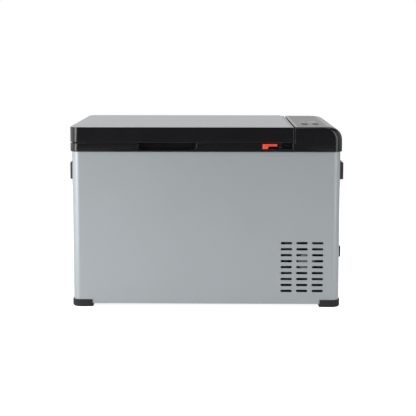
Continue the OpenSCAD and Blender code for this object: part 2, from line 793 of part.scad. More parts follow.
module compressor_bracket() color("silver") difference() {
    z = compressor_z0 - bracket_t;
    block([compressor_x - bracket_half - 8, compressor_y - bracket_half - 8, z],
        [compressor_x + bracket_half + 8, compressor_y + bracket_half + 8, z + bracket_t]);
    for (p = grommet_spots) rod_z(p.x, p.y, 5.2, z - 1, z + bracket_t + 1);
}

module compressor_grommets() color("black")
    for (p = grommet_spots) difference() {
        union() {
            rod_z(p.x, p.y, 8, pan_z1, compressor_z0 - bracket_t);
            rod_z(p.x, p.y, 5, compressor_z0 - bracket_t, compressor_z0);
            rod_z(p.x, p.y, 8, compressor_z0, compressor_z0 + 3);
        }
        rod_z(p.x, p.y, bolt_r + 0.2, pan_z1 - 1, compressor_z0 + 4);
    }

module compressor_bolts() color("silver")
    for (p = grommet_spots) {
        rod_z(p.x, p.y, bolt_r, floor_gap, compressor_z0 + 3);
        translate([p.x, p.y, compressor_z0 + 3]) cylinder(r = 4.6, h = 4, $fn = 6);
    }

module inverter_module() color("dimgray") {
    x0 = inverter_x[0];
    x1 = inverter_x[1];
    block([x0, inverter_y0 + 12, pan_z1], [x1, inverter_y0 + inverter_d, inverter_z1]);
    for (x = [x0 + 2:8:x1 - 2])
        block([x, inverter_y0, pan_z1 + 6], [x + 2, inverter_y0 + 13, inverter_z1 - 2]);
}

// ----------------------------------------------------- refrigerant tubes

module filter_drier() color("peru") translate([drier_x, drier_y, drier_z0]) {
    cylinder(r1 = pipe_r + 1, r2 = drier_r, h = 10);
    translate([0, 0, 10]) cylinder(r = drier_r, h = drier_l - 20);
    translate([0, 0, drier_l - 10]) cylinder(r1 = drier_r, r2 = pipe_r + 1, h = 10);
}

module discharge_pipe() color("peru") tube_along(rounded_route([
    [coil_x1, coil_y[1], coil_z1], [coil_x1 + 14, coil_y[1], coil_z1],
    [coil_x1 + 14, coil_y[1], compressor_z1 + pipe_rise],
    [compressor_x + 24, compressor_y, compressor_z1 + pipe_rise],
    [compressor_x + 24, compressor_y, compressor_z1]], 11), pipe_r);

module suction_pipe() color("peru") tube_along(rounded_route([
    [stub_x, stub_y, stub_z[1]], [compressor_x - 36, stub_y, stub_z[1]],
    [compressor_x - 18, compressor_y + 8, stub_z[1] - 12],
    [compressor_x - 18, compressor_y + 8, compressor_z1]], 10), pipe_r);

module liquid_line() color("peru") tube_along(rounded_route([
    [coil_x1, coil_y[0], coil_z1], [coil_x1 + 14, coil_y[0], coil_z1],
    [coil_x1 + 14, coil_y[0], drier_z0 + drier_l + drier_rise],
    [drier_x, drier_y, drier_z0 + drier_l + drier_rise],
    [drier_x, drier_y, drier_z0 + drier_l]], 11), pipe_r);

// Thin tube from the drier to the evaporator, with its spare length in a coil
module capillary_tube() color("peru") {
    coil = [for (i = [0:36]) let (a = 180 + i * 30)
        [drier_x + 24 + 14 * cos(a), drier_y + 14 * sin(a), 150 - i * 0.35]];
    tube_along(concat(
        [[drier_x, drier_y, drier_z0], [drier_x, drier_y, 160], [drier_x + 3, drier_y, 154]],
        coil,
        rounded_route([coil[36] - [0, 6, 6], [stub_x, drier_y + 18, stub_z[0]],
            [stub_x, stub_y - stub_bend, stub_z[0]]], 8)), capillary_r, 6);
}

module wiring_harness() color("black") {
    side = bay_x1 - 6.5;
    tube_along(rounded_route([
        [bay_x1 - inlet_in, inlet_ymid, inlet_z - 8],
        [bay_x1 - inlet_in - 8, inlet_ymid, inlet_z - 8],
        [bay_x1 - inlet_in - 8, inlet_ymid + 24, 60],
        [side, inlet_ymid + 44, 24], [side, inverter_y0 - 8, 24],
        [inverter_x[1] + 8, inverter_y0 + 30, 24],
        [inverter_x[1], inverter_y0 + 30, 24]], 6), 3);
    tube_along(rounded_route([
        [inverter_x[0] + 50, inverter_y0 + 40, inverter_z1],
        [inverter_x[0] + 50, inverter_y0 + 40, band_z0 - 20],
        [panel_x, window_y + 40, board_z - 24],
        [panel_x, window_y, board_z - 24], [panel_x, window_y, board_z - 1.6]], 8), 2.5);
}

// ------------------------------------------------- inlet, handles, feet

// Boss on the casing's right side with the socket for the low-voltage lead
module inlet_housing() color("black") difference() {
    union() {
        along_y(inlet_ymid - inlet_w / 2 - 5, inlet_ymid + inlet_w / 2 + 5) polygon([
            [body_b.x, inlet_zs[0] - inlet_slope], [body_b.x + inlet_out, inlet_zs[0]],
            [body_b.x + inlet_out, inlet_zs[1]], [body_b.x, inlet_zs[1] + inlet_slope]]);
        block([bay_x1 - inlet_in, inlet_ymid - inlet_w / 2 + 1.2, inlet_zs[0] + 1.2],
            [body_b.x + 1, inlet_ymid + inlet_w / 2 - 1.2, inlet_zs[1] - 1.2]);
    }
    block([bay_x1 - inlet_in + 4, inlet_ymid - socket_w / 2, inlet_z - socket_h / 2],
        [body_b.x + inlet_out + 1, inlet_ymid + socket_w / 2, inlet_z + socket_h / 2]);
}

module inlet_contacts() color("gold")
    for (y = [-1, 0, 1] * contact_pitch)
        rod_x(inlet_ymid + y, inlet_z, contact_r, bay_x1 - inlet_in + 4, bay_x1 - 2);

// Plan outline of a side handle, moved in by t, with its ends sloped
module handle_plan(t)
    polygon([[-1, -handle_l / 2 + handle_end + t],
        [handle_out - t, -handle_l / 2 + handle_taper + t * 0.6],
        [handle_out - t, handle_l / 2 - handle_taper - t * 0.6],
        [-1, handle_l / 2 - handle_end - t]]);

// Section of a side handle in X and Z: a nearly level roof and an upright outer wall
module handle_section(t)
    polygon([[-1, -1], [handle_out - t, -1],
        [handle_out - t, handle_h - handle_roof - handle_chamfer - t * 0.6],
        [handle_out - handle_chamfer - t * 0.4, handle_h - handle_roof - t],
        [-1, handle_h - t]]);

// Moulded grip, open below, on a screwed-on flange; s = -1 is the left side
module handle(s) color("black")
    translate([s * body_b.x, handle_y, handle_z]) mirror([s < 0 ? 1 : 0, 0, 0]) difference() {
        union() {
            block([0, -handle_l / 2, 0], [handle_flange_t, handle_l / 2, handle_h]);
            intersection() {
                along_y(-handle_l, handle_l) handle_section(0);
                linear_extrude(3 * handle_h, center = true) handle_plan(0);
                block([0, -handle_l, 0], [2 * handle_out, handle_l, 2 * handle_h]);
            }
        }
        intersection() {
            along_y(-handle_l, handle_l) handle_section(handle_wall);
            linear_extrude(3 * handle_h, center = true) handle_plan(handle_wall);
            block([handle_flange_t, -handle_l, -1], [2 * handle_out, handle_l, 2 * handle_h]);
        }
        for (y = [-1, 1] * handle_screw_y, z = handle_screw_z)
            rod_x(y, z - handle_z, screw_hole_r, -1, handle_flange_t + 1);
    }

module handle_screws() color("silver")
    for (s = [-1, 1], y = [-1, 1] * handle_screw_y, z = handle_screw_z)
        translate([s * (body_b.x + handle_flange_t), handle_y + y, z]) rotate([0, s * 90, 0])
            pan_screw(screw_r, handle_flange_t + shell_t + 4, 3.4, 2);

// Corner foot: a pad under the casing and a low wall round its corner
module foot(sx, sy) color("black")
    translate([sx * body_b.x, sy < 0 ? body_a.y : body_b.y, 0])
    mirror([sx > 0 ? 1 : 0, 0, 0]) mirror([0, sy > 0 ? 1 : 0, 0]) difference() {
        far = 3 * foot_l;
        intersection() {
            linear_extrude(foot_h)
                round_rect([-foot_over, -foot_over], [far, far], body_r + foot_over);
            union() {
                block([-foot_over, -foot_over, 0], [foot_l + 2, foot_l + 2, floor_gap - 2]);
                block([-foot_over, -foot_over, 0], [foot_l, foot_l, foot_h]);
            }
        }
        translate([0, 0, floor_gap]) linear_extrude(foot_h)
            round_rect([0, 0], [far, far], body_r);
        rod_z(foot_screw_in, foot_screw_in, 1.8, -1, floor_gap + 1);
        rod_z(foot_screw_in, foot_screw_in, 4.5, -1, 3);
    }

module foot_screws() color("silver")
    for (x = [-1, 1], y = [-1, 1])
        translate([x * (body_b.x - foot_screw_in),
            y < 0 ? body_a.y + foot_screw_in : body_b.y - foot_screw_in, 3])
            mirror([0, 0, 1]) pan_screw(1.6, floor_gap - 3 + pan_t, 3.8, 2);

// ------------------------------------------------------------------- lid

// Plan of the lid, moved in by t all round and by t_right on the housing's side
module lid_plan(t, t_right) intersection() {
    round_rect(band_a + [t, t], band_b - [t, t], corner_r - t);
    translate(band_a - [1, 1]) square([lid_x1 - t_right - band_a.x + 1, band_d + 2]);
}

module lid_frame() color("dimgray") difference() {
    translate([0, 0, lid_z0]) linear_extrude(lid_rim_z1 - lid_z0) lid_plan(0, 0);
    translate([0, 0, lid_z0 - 1]) linear_extrude(lid_deck_z0 - lid_z0 + 1)
        lid_plan(wall_t, wall_t);
    translate([0, 0, plate_z0]) linear_extrude(10) lid_plan(plate_edge, plate_strip);
}

// Sheet-metal top with a bevelled edge
module bevelled_plate(t, h) hull() {
    a = plate_edge + 0.1 + t;
    b = plate_strip + 0.1 + t;
    translate([0, 0, plate_z0]) linear_extrude(h - plate_bevel) lid_plan(a, b);
    translate([0, 0, plate_z0]) linear_extrude(h)
        lid_plan(a + plate_bevel, b + plate_bevel);
}

module lid_top_panel() color("silver") difference() {
    bevelled_plate(0, plate_h);
    translate([0, 0, -plate_t]) bevelled_plate(plate_t, plate_h);
}

// Inner lining of the lid, with a hollow plug that goes down into the tub
module lid_inner() color("whitesmoke") {
    edge = wall_t + 0.2;
    difference() {
        union() {
            translate([0, 0, inner_z0]) linear_extrude(inner_t) lid_plan(edge, edge);
            round_block(tub_a + [plug_gap, plug_gap], tub_b - [plug_gap, plug_gap],
                tub_r - plug_gap, plug_z0, inner_z0 + inner_t);
        }
        t = plug_gap + inner_t;
        round_block(tub_a + [t, t], tub_b - [t, t], tub_r - t,
            plug_z0 + inner_t, inner_z0 + inner_t + 1);
    }
}

module lid_foam() color("khaki") {
    edge = wall_t + 0.4;
    t = plug_gap + inner_t + 0.2;
    translate([0, 0, inner_z0 + inner_t]) linear_extrude(lid_deck_z0 - inner_z0 - inner_t)
        lid_plan(edge, edge);
    round_block(tub_a + [t, t], tub_b - [t, t], tub_r - t,
        plug_z0 + inner_t, inner_z0 + inner_t + 0.5);
}

// Soft ring that closes on the top band round the tub's mouth
module lid_gasket() color("gray") difference() {
    far = gasket_w + 3;
    round_block(tub_a - [far, far], tub_b + [far, far], tub_r + far,
        seam_z + gasket_gap, inner_z0);
    round_block(tub_a - [3, 3], tub_b + [3, 3], tub_r + 3, seam_z, inner_z0 + 1);
}

// --------------------------------------------------------- latch, hinges

// Hook under the lid whose toe the slider's arm passes over
module latch_keeper() color("black") {
    z0 = slider_z1 - slider_arm_h - 3.6;
    block([keeper_x, y_front + slider_y1 + 0.6, z0],
        [keeper_x + keeper_w, y_front + slider_y1 + 3.6, inner_z0]);
    block([keeper_x, y_front + 1, z0],
        [keeper_x + keeper_w, y_front + slider_y1 + 3.6, z0 + 3]);
}

// Red slider: a tall head for the thumb and a thin arm towards the keeper
module latch_slider() color("orangered") {
    x0 = latch_x0 + slider_side;
    y0 = y_front + slider_y0;
    y1 = y_front + slider_y1;
    block([x0, y0, latch_z0 + 0.4], [x0 + slider_head, y1, slider_z1]);
    block([x0 + slider_head - 1, y0, slider_z1 - slider_arm_h],
        [x0 + slider_l, y1, slider_z1]);
    block([stem_x, y1 - 1, slider_z1 - 8],
        [stem_x + stem_w, y_front + latch_depth + pocket_wall + 0.4, slider_z1 - 3]);
}

module latch_retainer() color("gray") {
    y = y_front + latch_depth + pocket_wall + 0.4;
    block([stem_x - 3, y, slider_z1 - 10.5], [stem_x + stem_w + 3, y + 2, slider_z1 - 2.6]);
}

hinge_y = y_back + hinge_out;
hinge_z = seam_z + seam_gap / 2;
hinge_xs = [band_a.x + hinge_from_side, lid_x1 - hinge_from_side];
knuckle = hinge_w / 3;

// Barrel from x0 to x1 joined to the wall by a web that leaves on the side dz points to
module knuckle_part(x0, x1, dz) difference() {
    union() {
        rod_x(hinge_y, hinge_z, hinge_r, x0, x1);
        block([x0, y_back, min(hinge_z, hinge_z + dz * (hinge_r + 4))],
            [x1, y_back + 4, max(hinge_z, hinge_z + dz * (hinge_r + 4))]);
    }
    rod_x(hinge_y, hinge_z, hinge_pin_r + slip, x0 - 1, x1 + 1);
}

module hinge_leaves_band() color("gray") for (x = hinge_xs) {
    knuckle_part(x - hinge_w / 2, x - knuckle / 2 - 0.2, -1);
    knuckle_part(x + knuckle / 2 + 0.2, x + hinge_w / 2, -1);
    block([x - hinge_w / 2, y_back, band_z0 + 1],
        [x + hinge_w / 2, y_back + leaf_t, hinge_z - hinge_r - 0.8]);
}

module hinge_leaves_lid() color("gray") for (x = hinge_xs) {
    knuckle_part(x - knuckle / 2 + 0.2, x + knuckle / 2 - 0.2, 1);
    block([x - hinge_w / 2, y_back, hinge_z + hinge_r + 0.8],
        [x + hinge_w / 2, y_back + leaf_t, hinge_z + hinge_r + 18]);
}

module hinge_pins() color("silver") for (x = hinge_xs)
    rod_x(hinge_y, hinge_z, hinge_pin_r, x - hinge_w / 2, x + hinge_w / 2);

// ---------------------------------------------------------- tub fittings

// Flat lattice of bars in X and Y from the origin: w by d, and t thick
module lattice(w, d, t) {
    for (x = [0:1:floor((w - bar_t) / bar_pitch)])
        translate([x * (w - bar_t) / floor((w - bar_t) / bar_pitch), 0, 0]) cube([bar_t, d, t]);
    for (y = [0:1:floor((d - bar_t) / bar_pitch)])
        translate([0, y * (d - bar_t) / floor((d - bar_t) / bar_pitch), 0]) cube([w, bar_t, t]);
}

module basket() color("white") {
    w = basket_b.x - basket_a.x;
    d = basket_b.y - basket_a.y;
    side_d = d - 2 * (bar_t + basket_split);
    wall_z = basket_z0 + bar_t + basket_split;
    translate([basket_a.x, basket_a.y, basket_z0]) lattice(w, d, bar_t);
    for (y = [basket_a.y, basket_b.y - bar_t])
        translate([basket_a.x, y + bar_t, wall_z]) rotate([90, 0, 0])
            lattice(w, basket_h - bar_t, bar_t);
    for (x = [basket_a.x, basket_b.x - bar_t])
        translate([x, basket_a.y + bar_t + basket_split, wall_z])
            rotate([90, 0, 90]) lattice(side_d, basket_h - bar_t, bar_t);
}

// Push-in plug in the drain spout, pulled out from behind
module drain_plug() color("black") {
    head_y0 = panel_y0 + shell_t + 0.2;
    rod_y(drain_x, drain_z, drain_r - 0.08, tub_b.y + 1, head_y0 + 1);
    rod_y(drain_x, drain_z, plug_head_r, head_y0, head_y0 + plug_head_t);
}

// Lamp cover on the tub's right wall
module light_lens() color("ivory")
    block([tub_b.x - lens_t, tub_y_mid - lens_w / 2, deck_z0 - lens_drop - lens_h],
        [tub_b.x, tub_y_mid + lens_w / 2, deck_z0 - lens_drop]);

// ------------------------------------------------------------- assembly

outer_casing();
rear_panel();
rear_screws();
base_pan();
foam_block();
tub_liner();
bulkhead();
evaporator_sheet();
evaporator_tube();
top_band();
control_panel();
display_window();
button(2);  // button_power
button(3);  // button_set
button(0);  // button_up
button(1);  // button_down
control_board();
fan_frame();
fan_screws();
fan_rotor();
condenser_fins();
condenser_tube();
condenser_bracket();
compressor_lower_shell();
compressor_upper_shell();
compressor_motor();
compressor_bracket();
compressor_grommets();
compressor_bolts();
inverter_module();
filter_drier();
discharge_pipe();
suction_pipe();
liquid_line();
capillary_tube();
wiring_harness();
inlet_housing();
inlet_contacts();
handle(-1);  // handle_left
handle(1);  // handle_right
handle_screws();
foot(-1, -1);  // foot_front_left
foot(1, -1);  // foot_front_right
foot(-1, 1);  // foot_rear_left
foot(1, 1);  // foot_rear_right
foot_screws();
lid_frame();
lid_top_panel();
lid_inner();
lid_foam();
lid_gasket();
latch_keeper();
latch_slider();
latch_retainer();
hinge_leaves_band();
hinge_leaves_lid();
hinge_pins();
basket();
drain_plug();
light_lens();
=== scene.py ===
"""Looks of a portable compressor cooler: finishes, fine pieces and a plain studio."""

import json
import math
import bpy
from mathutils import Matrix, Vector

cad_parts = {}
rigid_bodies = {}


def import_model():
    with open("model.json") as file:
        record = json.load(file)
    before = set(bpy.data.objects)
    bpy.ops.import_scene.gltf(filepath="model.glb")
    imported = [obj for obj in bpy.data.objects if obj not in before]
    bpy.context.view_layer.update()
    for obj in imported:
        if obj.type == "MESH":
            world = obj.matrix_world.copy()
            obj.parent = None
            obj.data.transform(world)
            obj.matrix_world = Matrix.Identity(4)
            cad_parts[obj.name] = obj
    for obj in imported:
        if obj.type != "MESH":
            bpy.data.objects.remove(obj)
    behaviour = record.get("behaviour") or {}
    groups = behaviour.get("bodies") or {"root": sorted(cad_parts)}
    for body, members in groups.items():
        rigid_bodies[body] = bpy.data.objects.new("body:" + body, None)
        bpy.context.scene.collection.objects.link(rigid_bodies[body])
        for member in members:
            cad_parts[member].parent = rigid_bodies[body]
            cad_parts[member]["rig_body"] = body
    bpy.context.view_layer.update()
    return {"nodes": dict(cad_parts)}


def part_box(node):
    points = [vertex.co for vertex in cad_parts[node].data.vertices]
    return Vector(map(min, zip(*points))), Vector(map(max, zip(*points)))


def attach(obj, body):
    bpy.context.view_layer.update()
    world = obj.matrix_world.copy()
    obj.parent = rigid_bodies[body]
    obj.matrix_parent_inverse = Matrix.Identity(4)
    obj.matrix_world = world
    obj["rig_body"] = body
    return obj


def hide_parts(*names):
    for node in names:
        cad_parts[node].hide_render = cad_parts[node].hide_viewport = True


bl_info = {
    "name": "Compressor Cooler Looks",
    "version": (1, 0, 0),
    "blender": (4, 5, 0),
    "location": "3D View > Sidebar > Cooler",
    "description": "Finishes and fine pieces of a portable compressor cooler",
    "category": "Object",
}

import bmesh
import bpy
import numpy as np
from mathutils import Vector

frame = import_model()
NODES = frame["nodes"]
MM = 0.001
TURN = 2 * math.pi
SAME_POINT = 1e-6  # points nearer than this, in metres, are one
SHARP = math.radians(30)  # edges that turn more than this are rounded
FLAT = math.radians(0.3)  # faces that turn less than this from each other are one
EDGE_STEPS = 2  # faces across a rounded edge


# ------------------------------------------------------------------ shapes


def corners(node):
    """Lowest and highest corner of a CAD node, as arrays in metres."""
    low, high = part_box(node)
    return np.array(low), np.array(high)


def solids(node):
    """Lowest and highest corners of each separate solid of a CAD node, sorted by lowest corner."""
    work = bmesh.new()
    work.from_mesh(NODES[node].data)
    bmesh.ops.remove_doubles(work, verts=work.verts, dist=SAME_POINT)
    waiting = set(work.verts)
    found = []
    while waiting:
        front = [waiting.pop()]
        island = []
        while front:
            island += front
            near = {edge.other_vert(vert) for vert in front for edge in vert.link_edges}
            front = list(near & waiting)
            waiting -= near
        points = np.array([vert.co for vert in island])
        found.append((points.min(axis=0), points.max(axis=0)))
    work.free()
    return sorted(found, key=lambda ends: tuple(ends[0]))


def outline(low, high, radius, steps=8):
    """Closed plan of a rectangle with round corners, and its outward directions.

    Each corner is centre + radius * (cos a, sin a) as a runs over a quarter turn.
    """
    angle = (np.arange(4)[:, None] + np.linspace(0, 1, steps + 1)) * math.pi / 2
    x = np.array([high[0], low[0], low[0], high[0]]) + radius * np.array([-1, 1, 1, -1])
    y = np.array([high[1], high[1], low[1], low[1]]) + radius * np.array([-1, -1, 1, 1])
    out = np.stack([np.cos(angle), np.sin(angle)], -1).reshape(-1, 2)
    centre = np.repeat(np.stack([x, y], -1), steps + 1, axis=0)
    return centre + radius * out, out


def carried(plan, out, section):
    """Grid of a section carried round a plan: (plan + out * offset, height) for each (offset, height)."""
    section = np.asarray(section, float)
    flat = plan[None] + out[None] * section[:, 0, None, None]
    height = np.broadcast_to(section[:, 1, None, None], flat.shape[:2] + (1,))
    return np.concatenate([flat, height], -1)


def frame_of(axis):
    """Unit vector along an axis and two more, square to it and to each other."""
    axis = np.asarray(axis, float) / np.linalg.norm(axis)
    side = np.cross(axis, [0, 0, 1] if abs(axis[2]) < 0.9 else [1, 0, 0])
    side /= np.linalg.norm(side)
    return axis, side, np.cross(axis, side)


def turned(centre, axis, section, sides=32):
    """Grid of a section turned round an axis.

    For each (r, h) the points are centre + r * (cos a, sin a) across the axis + h along it.
    """
    axis, side, up = frame_of(axis)
    section = np.asarray(section, float)
    angle = np.arange(sides) * TURN / sides
    ring = np.cos(angle)[:, None] * side + np.sin(angle)[:, None] * up
    return centre + section[:, 0, None, None] * ring[None] + section[:, 1, None, None] * axis


def rod(start, end, radius, sides=8):
    """Grid of a round bar between two points, its end edges cut back by 0.3 of its radius."""
    start, end = np.asarray(start, float), np.asarray(end, float)
    length = np.linalg.norm(end - start)
    cut = 0.3 * radius
    section = [[radius - cut, 0], [radius, cut], [radius, length - cut], [radius - cut, length]]
    return turned(start, end - start, section, sides)


def bent_rod(points, radius, sides=8):
    """Grid of a round bar along a bent path in one plane.

    Each ring is path + radius * (cos a, sin a), square to the mean of the two runs beside it.
    """
    path = np.asarray(points, float)
    run = np.gradient(path, axis=0)
    run /= np.linalg.norm(run, axis=1)[:, None]
    normal = np.cross(run[0], run[len(run) // 2])
    normal /= np.linalg.norm(normal)
    across = np.cross(run, normal)
    angle = np.arange(sides) * TURN / sides
    return (
        path[:, None]
        + radius * np.cos(angle)[None, :, None] * across[:, None]
        + radius * np.sin(angle)[None, :, None] * normal
    )


def rounded_path(points, radius, steps=5):
    """Path through points with each inner corner b rounded off, from a before it to c after it.

    The curve is (1 - s)^2 a + 2 s (1 - s) b + s^2 c as s runs from 0 to 1.
    """
    points = np.asarray(points, float)
    s = np.linspace(0, 1, steps + 1)[:, None]
    parts = [points[:1]]
    for before, here, after in zip(points[:-2], points[1:-1], points[2:]):
        a = here + radius * (before - here) / np.linalg.norm(before - here)
        c = here + radius * (after - here) / np.linalg.norm(after - here)
        parts.append((1 - s) ** 2 * a + 2 * s * (1 - s) * here + s**2 * c)
    return np.concatenate(parts + [points[-1:]])


def hoop(plan, height, radius, sides=8):
    """Grid of a round wire along a closed level plan: radius * (cos a) out of it, radius * (sin a) up."""
    run = np.roll(plan, -1, axis=0) - np.roll(plan, 1, axis=0)
    out = np.stack([run[:, 1], -run[:, 0]], -1) / np.linalg.norm(run, axis=1)[:, None]
    angle = np.arange(sides) * TURN / sides
    flat = plan[:, None] + radius * np.cos(angle)[None, :, None] * out[:, None]
    rise = height + radius * np.broadcast_to(np.sin(angle), flat.shape[:2])
    grid = np.concatenate([flat, rise[..., None]], -1)
    return np.concatenate([grid, grid[:1]])


def flat_bars(runs, width, low, high):
    """Grids of level bars with pointed ends, one for each run (start, end) in plan, from low to high."""
    grids = []
    for start, end in np.asarray(runs, float):
        along = (end - start) / np.linalg.norm(end - start)
        side = np.array([-along[1], along[0]]) * width / 2
        tip = along * width / 2
        near, far = start + tip, end - tip
        plan = np.array([start, near + side, far + side, end, far - side, near - side])
        grids.append(np.stack([np.c_[plan, np.full(len(plan), z)] for z in (low, high)]))
    return grids


def solid_box(low, high, edge):
    """Grid of a box with round upright corners, its top and bottom bevelled by the same amount."""
    plan, out = outline(low, high, edge, 3)
    steps = [[-edge, low[2]], [0, low[2] + edge], [0, high[2] - edge], [-edge, high[2]]]
    return carried(plan, out, steps)


def screw_head(centre, axis, radius, height, rise=0.45, depth=0.7, across=0.22, reach=0.62, fade=0.1):
    """Grid of a pan head with a cross recess.

    Its height over radius r is height * (1 - rise * (r / radius) ** 3), less depth * height where
    the smaller of |x| and |y| is under across * radius and the larger is under reach * radius. The
    recess's walls slope over fade * radius. The rings close up towards the rim, and the last stands
    under the one before it, on the seat.
    """
    axis, side, up = frame_of(axis)
    r = np.concatenate([np.linspace(0.01, 0.66, 9), [0.8, 0.92, 0.98, 1.0, 1.0]]) * radius
    sides = 40
    angle = (np.arange(sides) + 0.5) * TURN / sides
    x, y = r[:, None] * np.cos(angle), r[:, None] * np.sin(angle)
    near, far = np.minimum(abs(x), abs(y)), np.maximum(abs(x), abs(y))
    slot = np.clip((across * radius - near) / (fade * radius), 0, 1)
    slot *= np.clip((reach * radius - far) / (fade * radius), 0, 1)
    h = height * (1 - rise * (r[:, None] / radius) ** 3) - depth * height * slot
    h[-1] = 0
    return centre + x[..., None] * side + y[..., None] * up + h[..., None] * axis


def place_mesh(name, mesh, finish, body, stands_for, sharp):
    """Makes a finished mesh an object on its body, in place of the CAD nodes that it stands for."""
    mesh.shade_smooth()
    mesh.set_sharp_from_angle(angle=math.radians(sharp))
    mesh.materials.clear()
    mesh.materials.append(finish)
    piece = bpy.data.objects.new(name, mesh)
    bpy.context.scene.collection.objects.link(piece)
    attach(piece, body)
    if stands_for:
        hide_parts(*stands_for)
    return piece


def make_piece(name, grids, body, finish, stands_for=(), sharp=40):
    """One piece from grids of points.

    Each grid closes round its columns. It gets a cap at both ends unless its last row is its first.
    """
    points, faces = [], []
    for grid in grids:
        rows, cols = grid.shape[:2]
        index = sum(map(len, points)) + np.arange(rows * cols).reshape(rows, cols)
        beside = np.roll(index, -1, axis=1)
        quads = np.stack([index[:-1], beside[:-1], beside[1:], index[1:]], -1)
        faces += quads.reshape(-1, 4).tolist()
        if not np.allclose(grid[0], grid[-1]):
            faces += [index[0, ::-1].tolist(), index[-1].tolist()]
        points.append(grid.reshape(-1, 3))
    mesh = bpy.data.meshes.new(name)
    mesh.from_pydata(np.concatenate(points), [], faces)
    work = bmesh.new()
    work.from_mesh(mesh)
    bmesh.ops.remove_doubles(work, verts=work.verts, dist=SAME_POINT)
    bmesh.ops.recalc_face_normals(work, faces=work.faces)
    work.to_mesh(mesh)
    work.free()
    place_mesh(name, mesh, finish, body, stands_for, sharp)


def soften(node, width, whole=False):
    """Rounds a CAD node's sharp edges by modifiers: its loose faces are welded and bevelled.

    With whole, flat faces are joined first, which suits thin sheets with many holes.
    """
    piece = NODES[node]
    weld = piece.modifiers.new("weld", "WELD")
    weld.merge_threshold = 2 * SAME_POINT
    if whole:
        flat = piece.modifiers.new("whole_faces", "DECIMATE")
        flat.decimate_type = "DISSOLVE"
        flat.angle_limit = FLAT
    edge = piece.modifiers.new("edges", "BEVEL")
    edge.width = width
    edge.segments = EDGE_STEPS
    edge.limit_method = "ANGLE"
    edge.angle_limit = SHARP
    edge.use_clamp_overlap = False
    edge.miter_outer = "MITER_ARC"
    shade = piece.modifiers.new("shade", "WEIGHTED_NORMAL")
    shade.keep_sharp = True
    shade.weight = 60


def within(ends, low, high):
    """Picks the edges with both their ends inside a box; ends is an array of edge, end and axis."""
    return ((ends > np.asarray(low)) & (ends < np.asarray(high))).all(axis=(1, 2))


def moulded_copy(name, node, finish, rounds):
    """Copy of a CAD node, its loose faces welded and its sharp edges rounded.

    Each round is a width, a number of segments and a test that picks edges by their ends.
    """
    mesh = NODES[node].data.copy()
    mesh.name = name
    weld_gap = 20 * SAME_POINT
    work = bmesh.new()
    work.from_mesh(mesh)
    bmesh.ops.remove_doubles(work, verts=work.verts, dist=weld_gap)
    bmesh.ops.dissolve_degenerate(work, edges=work.edges, dist=weld_gap)
    for width, segments, picks in rounds:
        edges = [edge for edge in work.edges if edge.calc_face_angle(0) > SHARP]
        ends = np.array([[vert.co[:] for vert in edge.verts] for edge in edges])
        chosen = [edge for edge, pick in zip(edges, picks(ends)) if pick]
        bmesh.ops.bevel(
            work, geom=chosen, offset=width, offset_type="OFFSET", segments=segments, profile=0.5,
            affect="EDGES", clamp_overlap=False,
        )
    work.to_mesh(mesh)
    work.free()
    piece = place_mesh(name, mesh, finish, NODES[node]["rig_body"], (node,), sharp=50)
    shade = piece.modifiers.new("shade", "WEIGHTED_NORMAL")
    shade.keep_sharp = True


def every_edge(ends):
    """Picks all the sharp edges."""
    return np.ones(len(ends), bool)


def cross_screws(name, node, axis, body, finish, head_r, head_h):
    """Cross-recessed pan screws in place of a CAD node's plain ones.

    An axis of None points away from the middle along X.
    """
    shank_r = 0.44 * head_r
    grids = []
    for low, high in solids(node):
        middle = (low + high) / 2
        way = np.array(axis or (math.copysign(1, middle[0]), 0, 0), float)
        reach = abs(way @ (high - low)) / 2
        seat = middle + way * (reach - head_h)
        grids.append(screw_head(seat, way, head_r, head_h))
        grids.append(rod(middle - way * reach, seat + way * 0.2 * head_h, shank_r, 12))
    make_piece(name, grids, body, finish, (node,), sharp=35)


def paint(finish, *nodes):
    """Puts one finish on every face of the CAD nodes."""
    for node in nodes:
        mesh = NODES[node].data
        mesh.materials.clear()
        mesh.materials.append(finish)


# --------------------------------------------------------------- materials


def node_group(name, inputs, outputs):
    """Empty shader node group with named float sockets, and its two end nodes."""
    group = bpy.data.node_groups.new(name, "ShaderNodeTree")
    for label, default in inputs.items():
        socket = group.interface.new_socket(label, in_out="INPUT", socket_type="NodeSocketFloat")
        socket.default_value = default
    for label in outputs:
        group.interface.new_socket(label, in_out="OUTPUT", socket_type="NodeSocketFloat")
    return group, group.nodes.new("NodeGroupInput"), group.nodes.new("NodeGroupOutput")


def maths(tree, operation, a, b, clamp=False):
    """Math node whose two inputs are sockets or numbers; gives its output socket."""
    node = tree.nodes.new("ShaderNodeMath")
    node.operation = operation
    node.use_clamp = clamp
    for socket, value in zip(node.inputs, (a, b)):
        if isinstance(value, bpy.types.NodeSocket):
            tree.links.new(value, socket)
        else:
            socket.default_value = value
    return node.outputs[0]


def ramp(tree, value, start, gain):
    """How far a value is past a start, times a gain, held between 0 and 1."""
    return maths(tree, "MULTIPLY", maths(tree, "SUBTRACT", value, start), gain, True)


def noise(tree, vector, scale, detail=2.0, roughness=0.5):
    """Noise texture at a scale that is a number or a socket; gives its value socket."""
    node = tree.nodes.new("ShaderNodeTexNoise")
    node.inputs["Detail"].default_value = detail
    node.inputs["Roughness"].default_value = roughness
    tree.links.new(vector, node.inputs["Vector"])
    if isinstance(scale, bpy.types.NodeSocket):
        tree.links.new(scale, node.inputs["Scale"])
    else:
        node.inputs["Scale"].default_value = scale
    return node.outputs["Fac"]


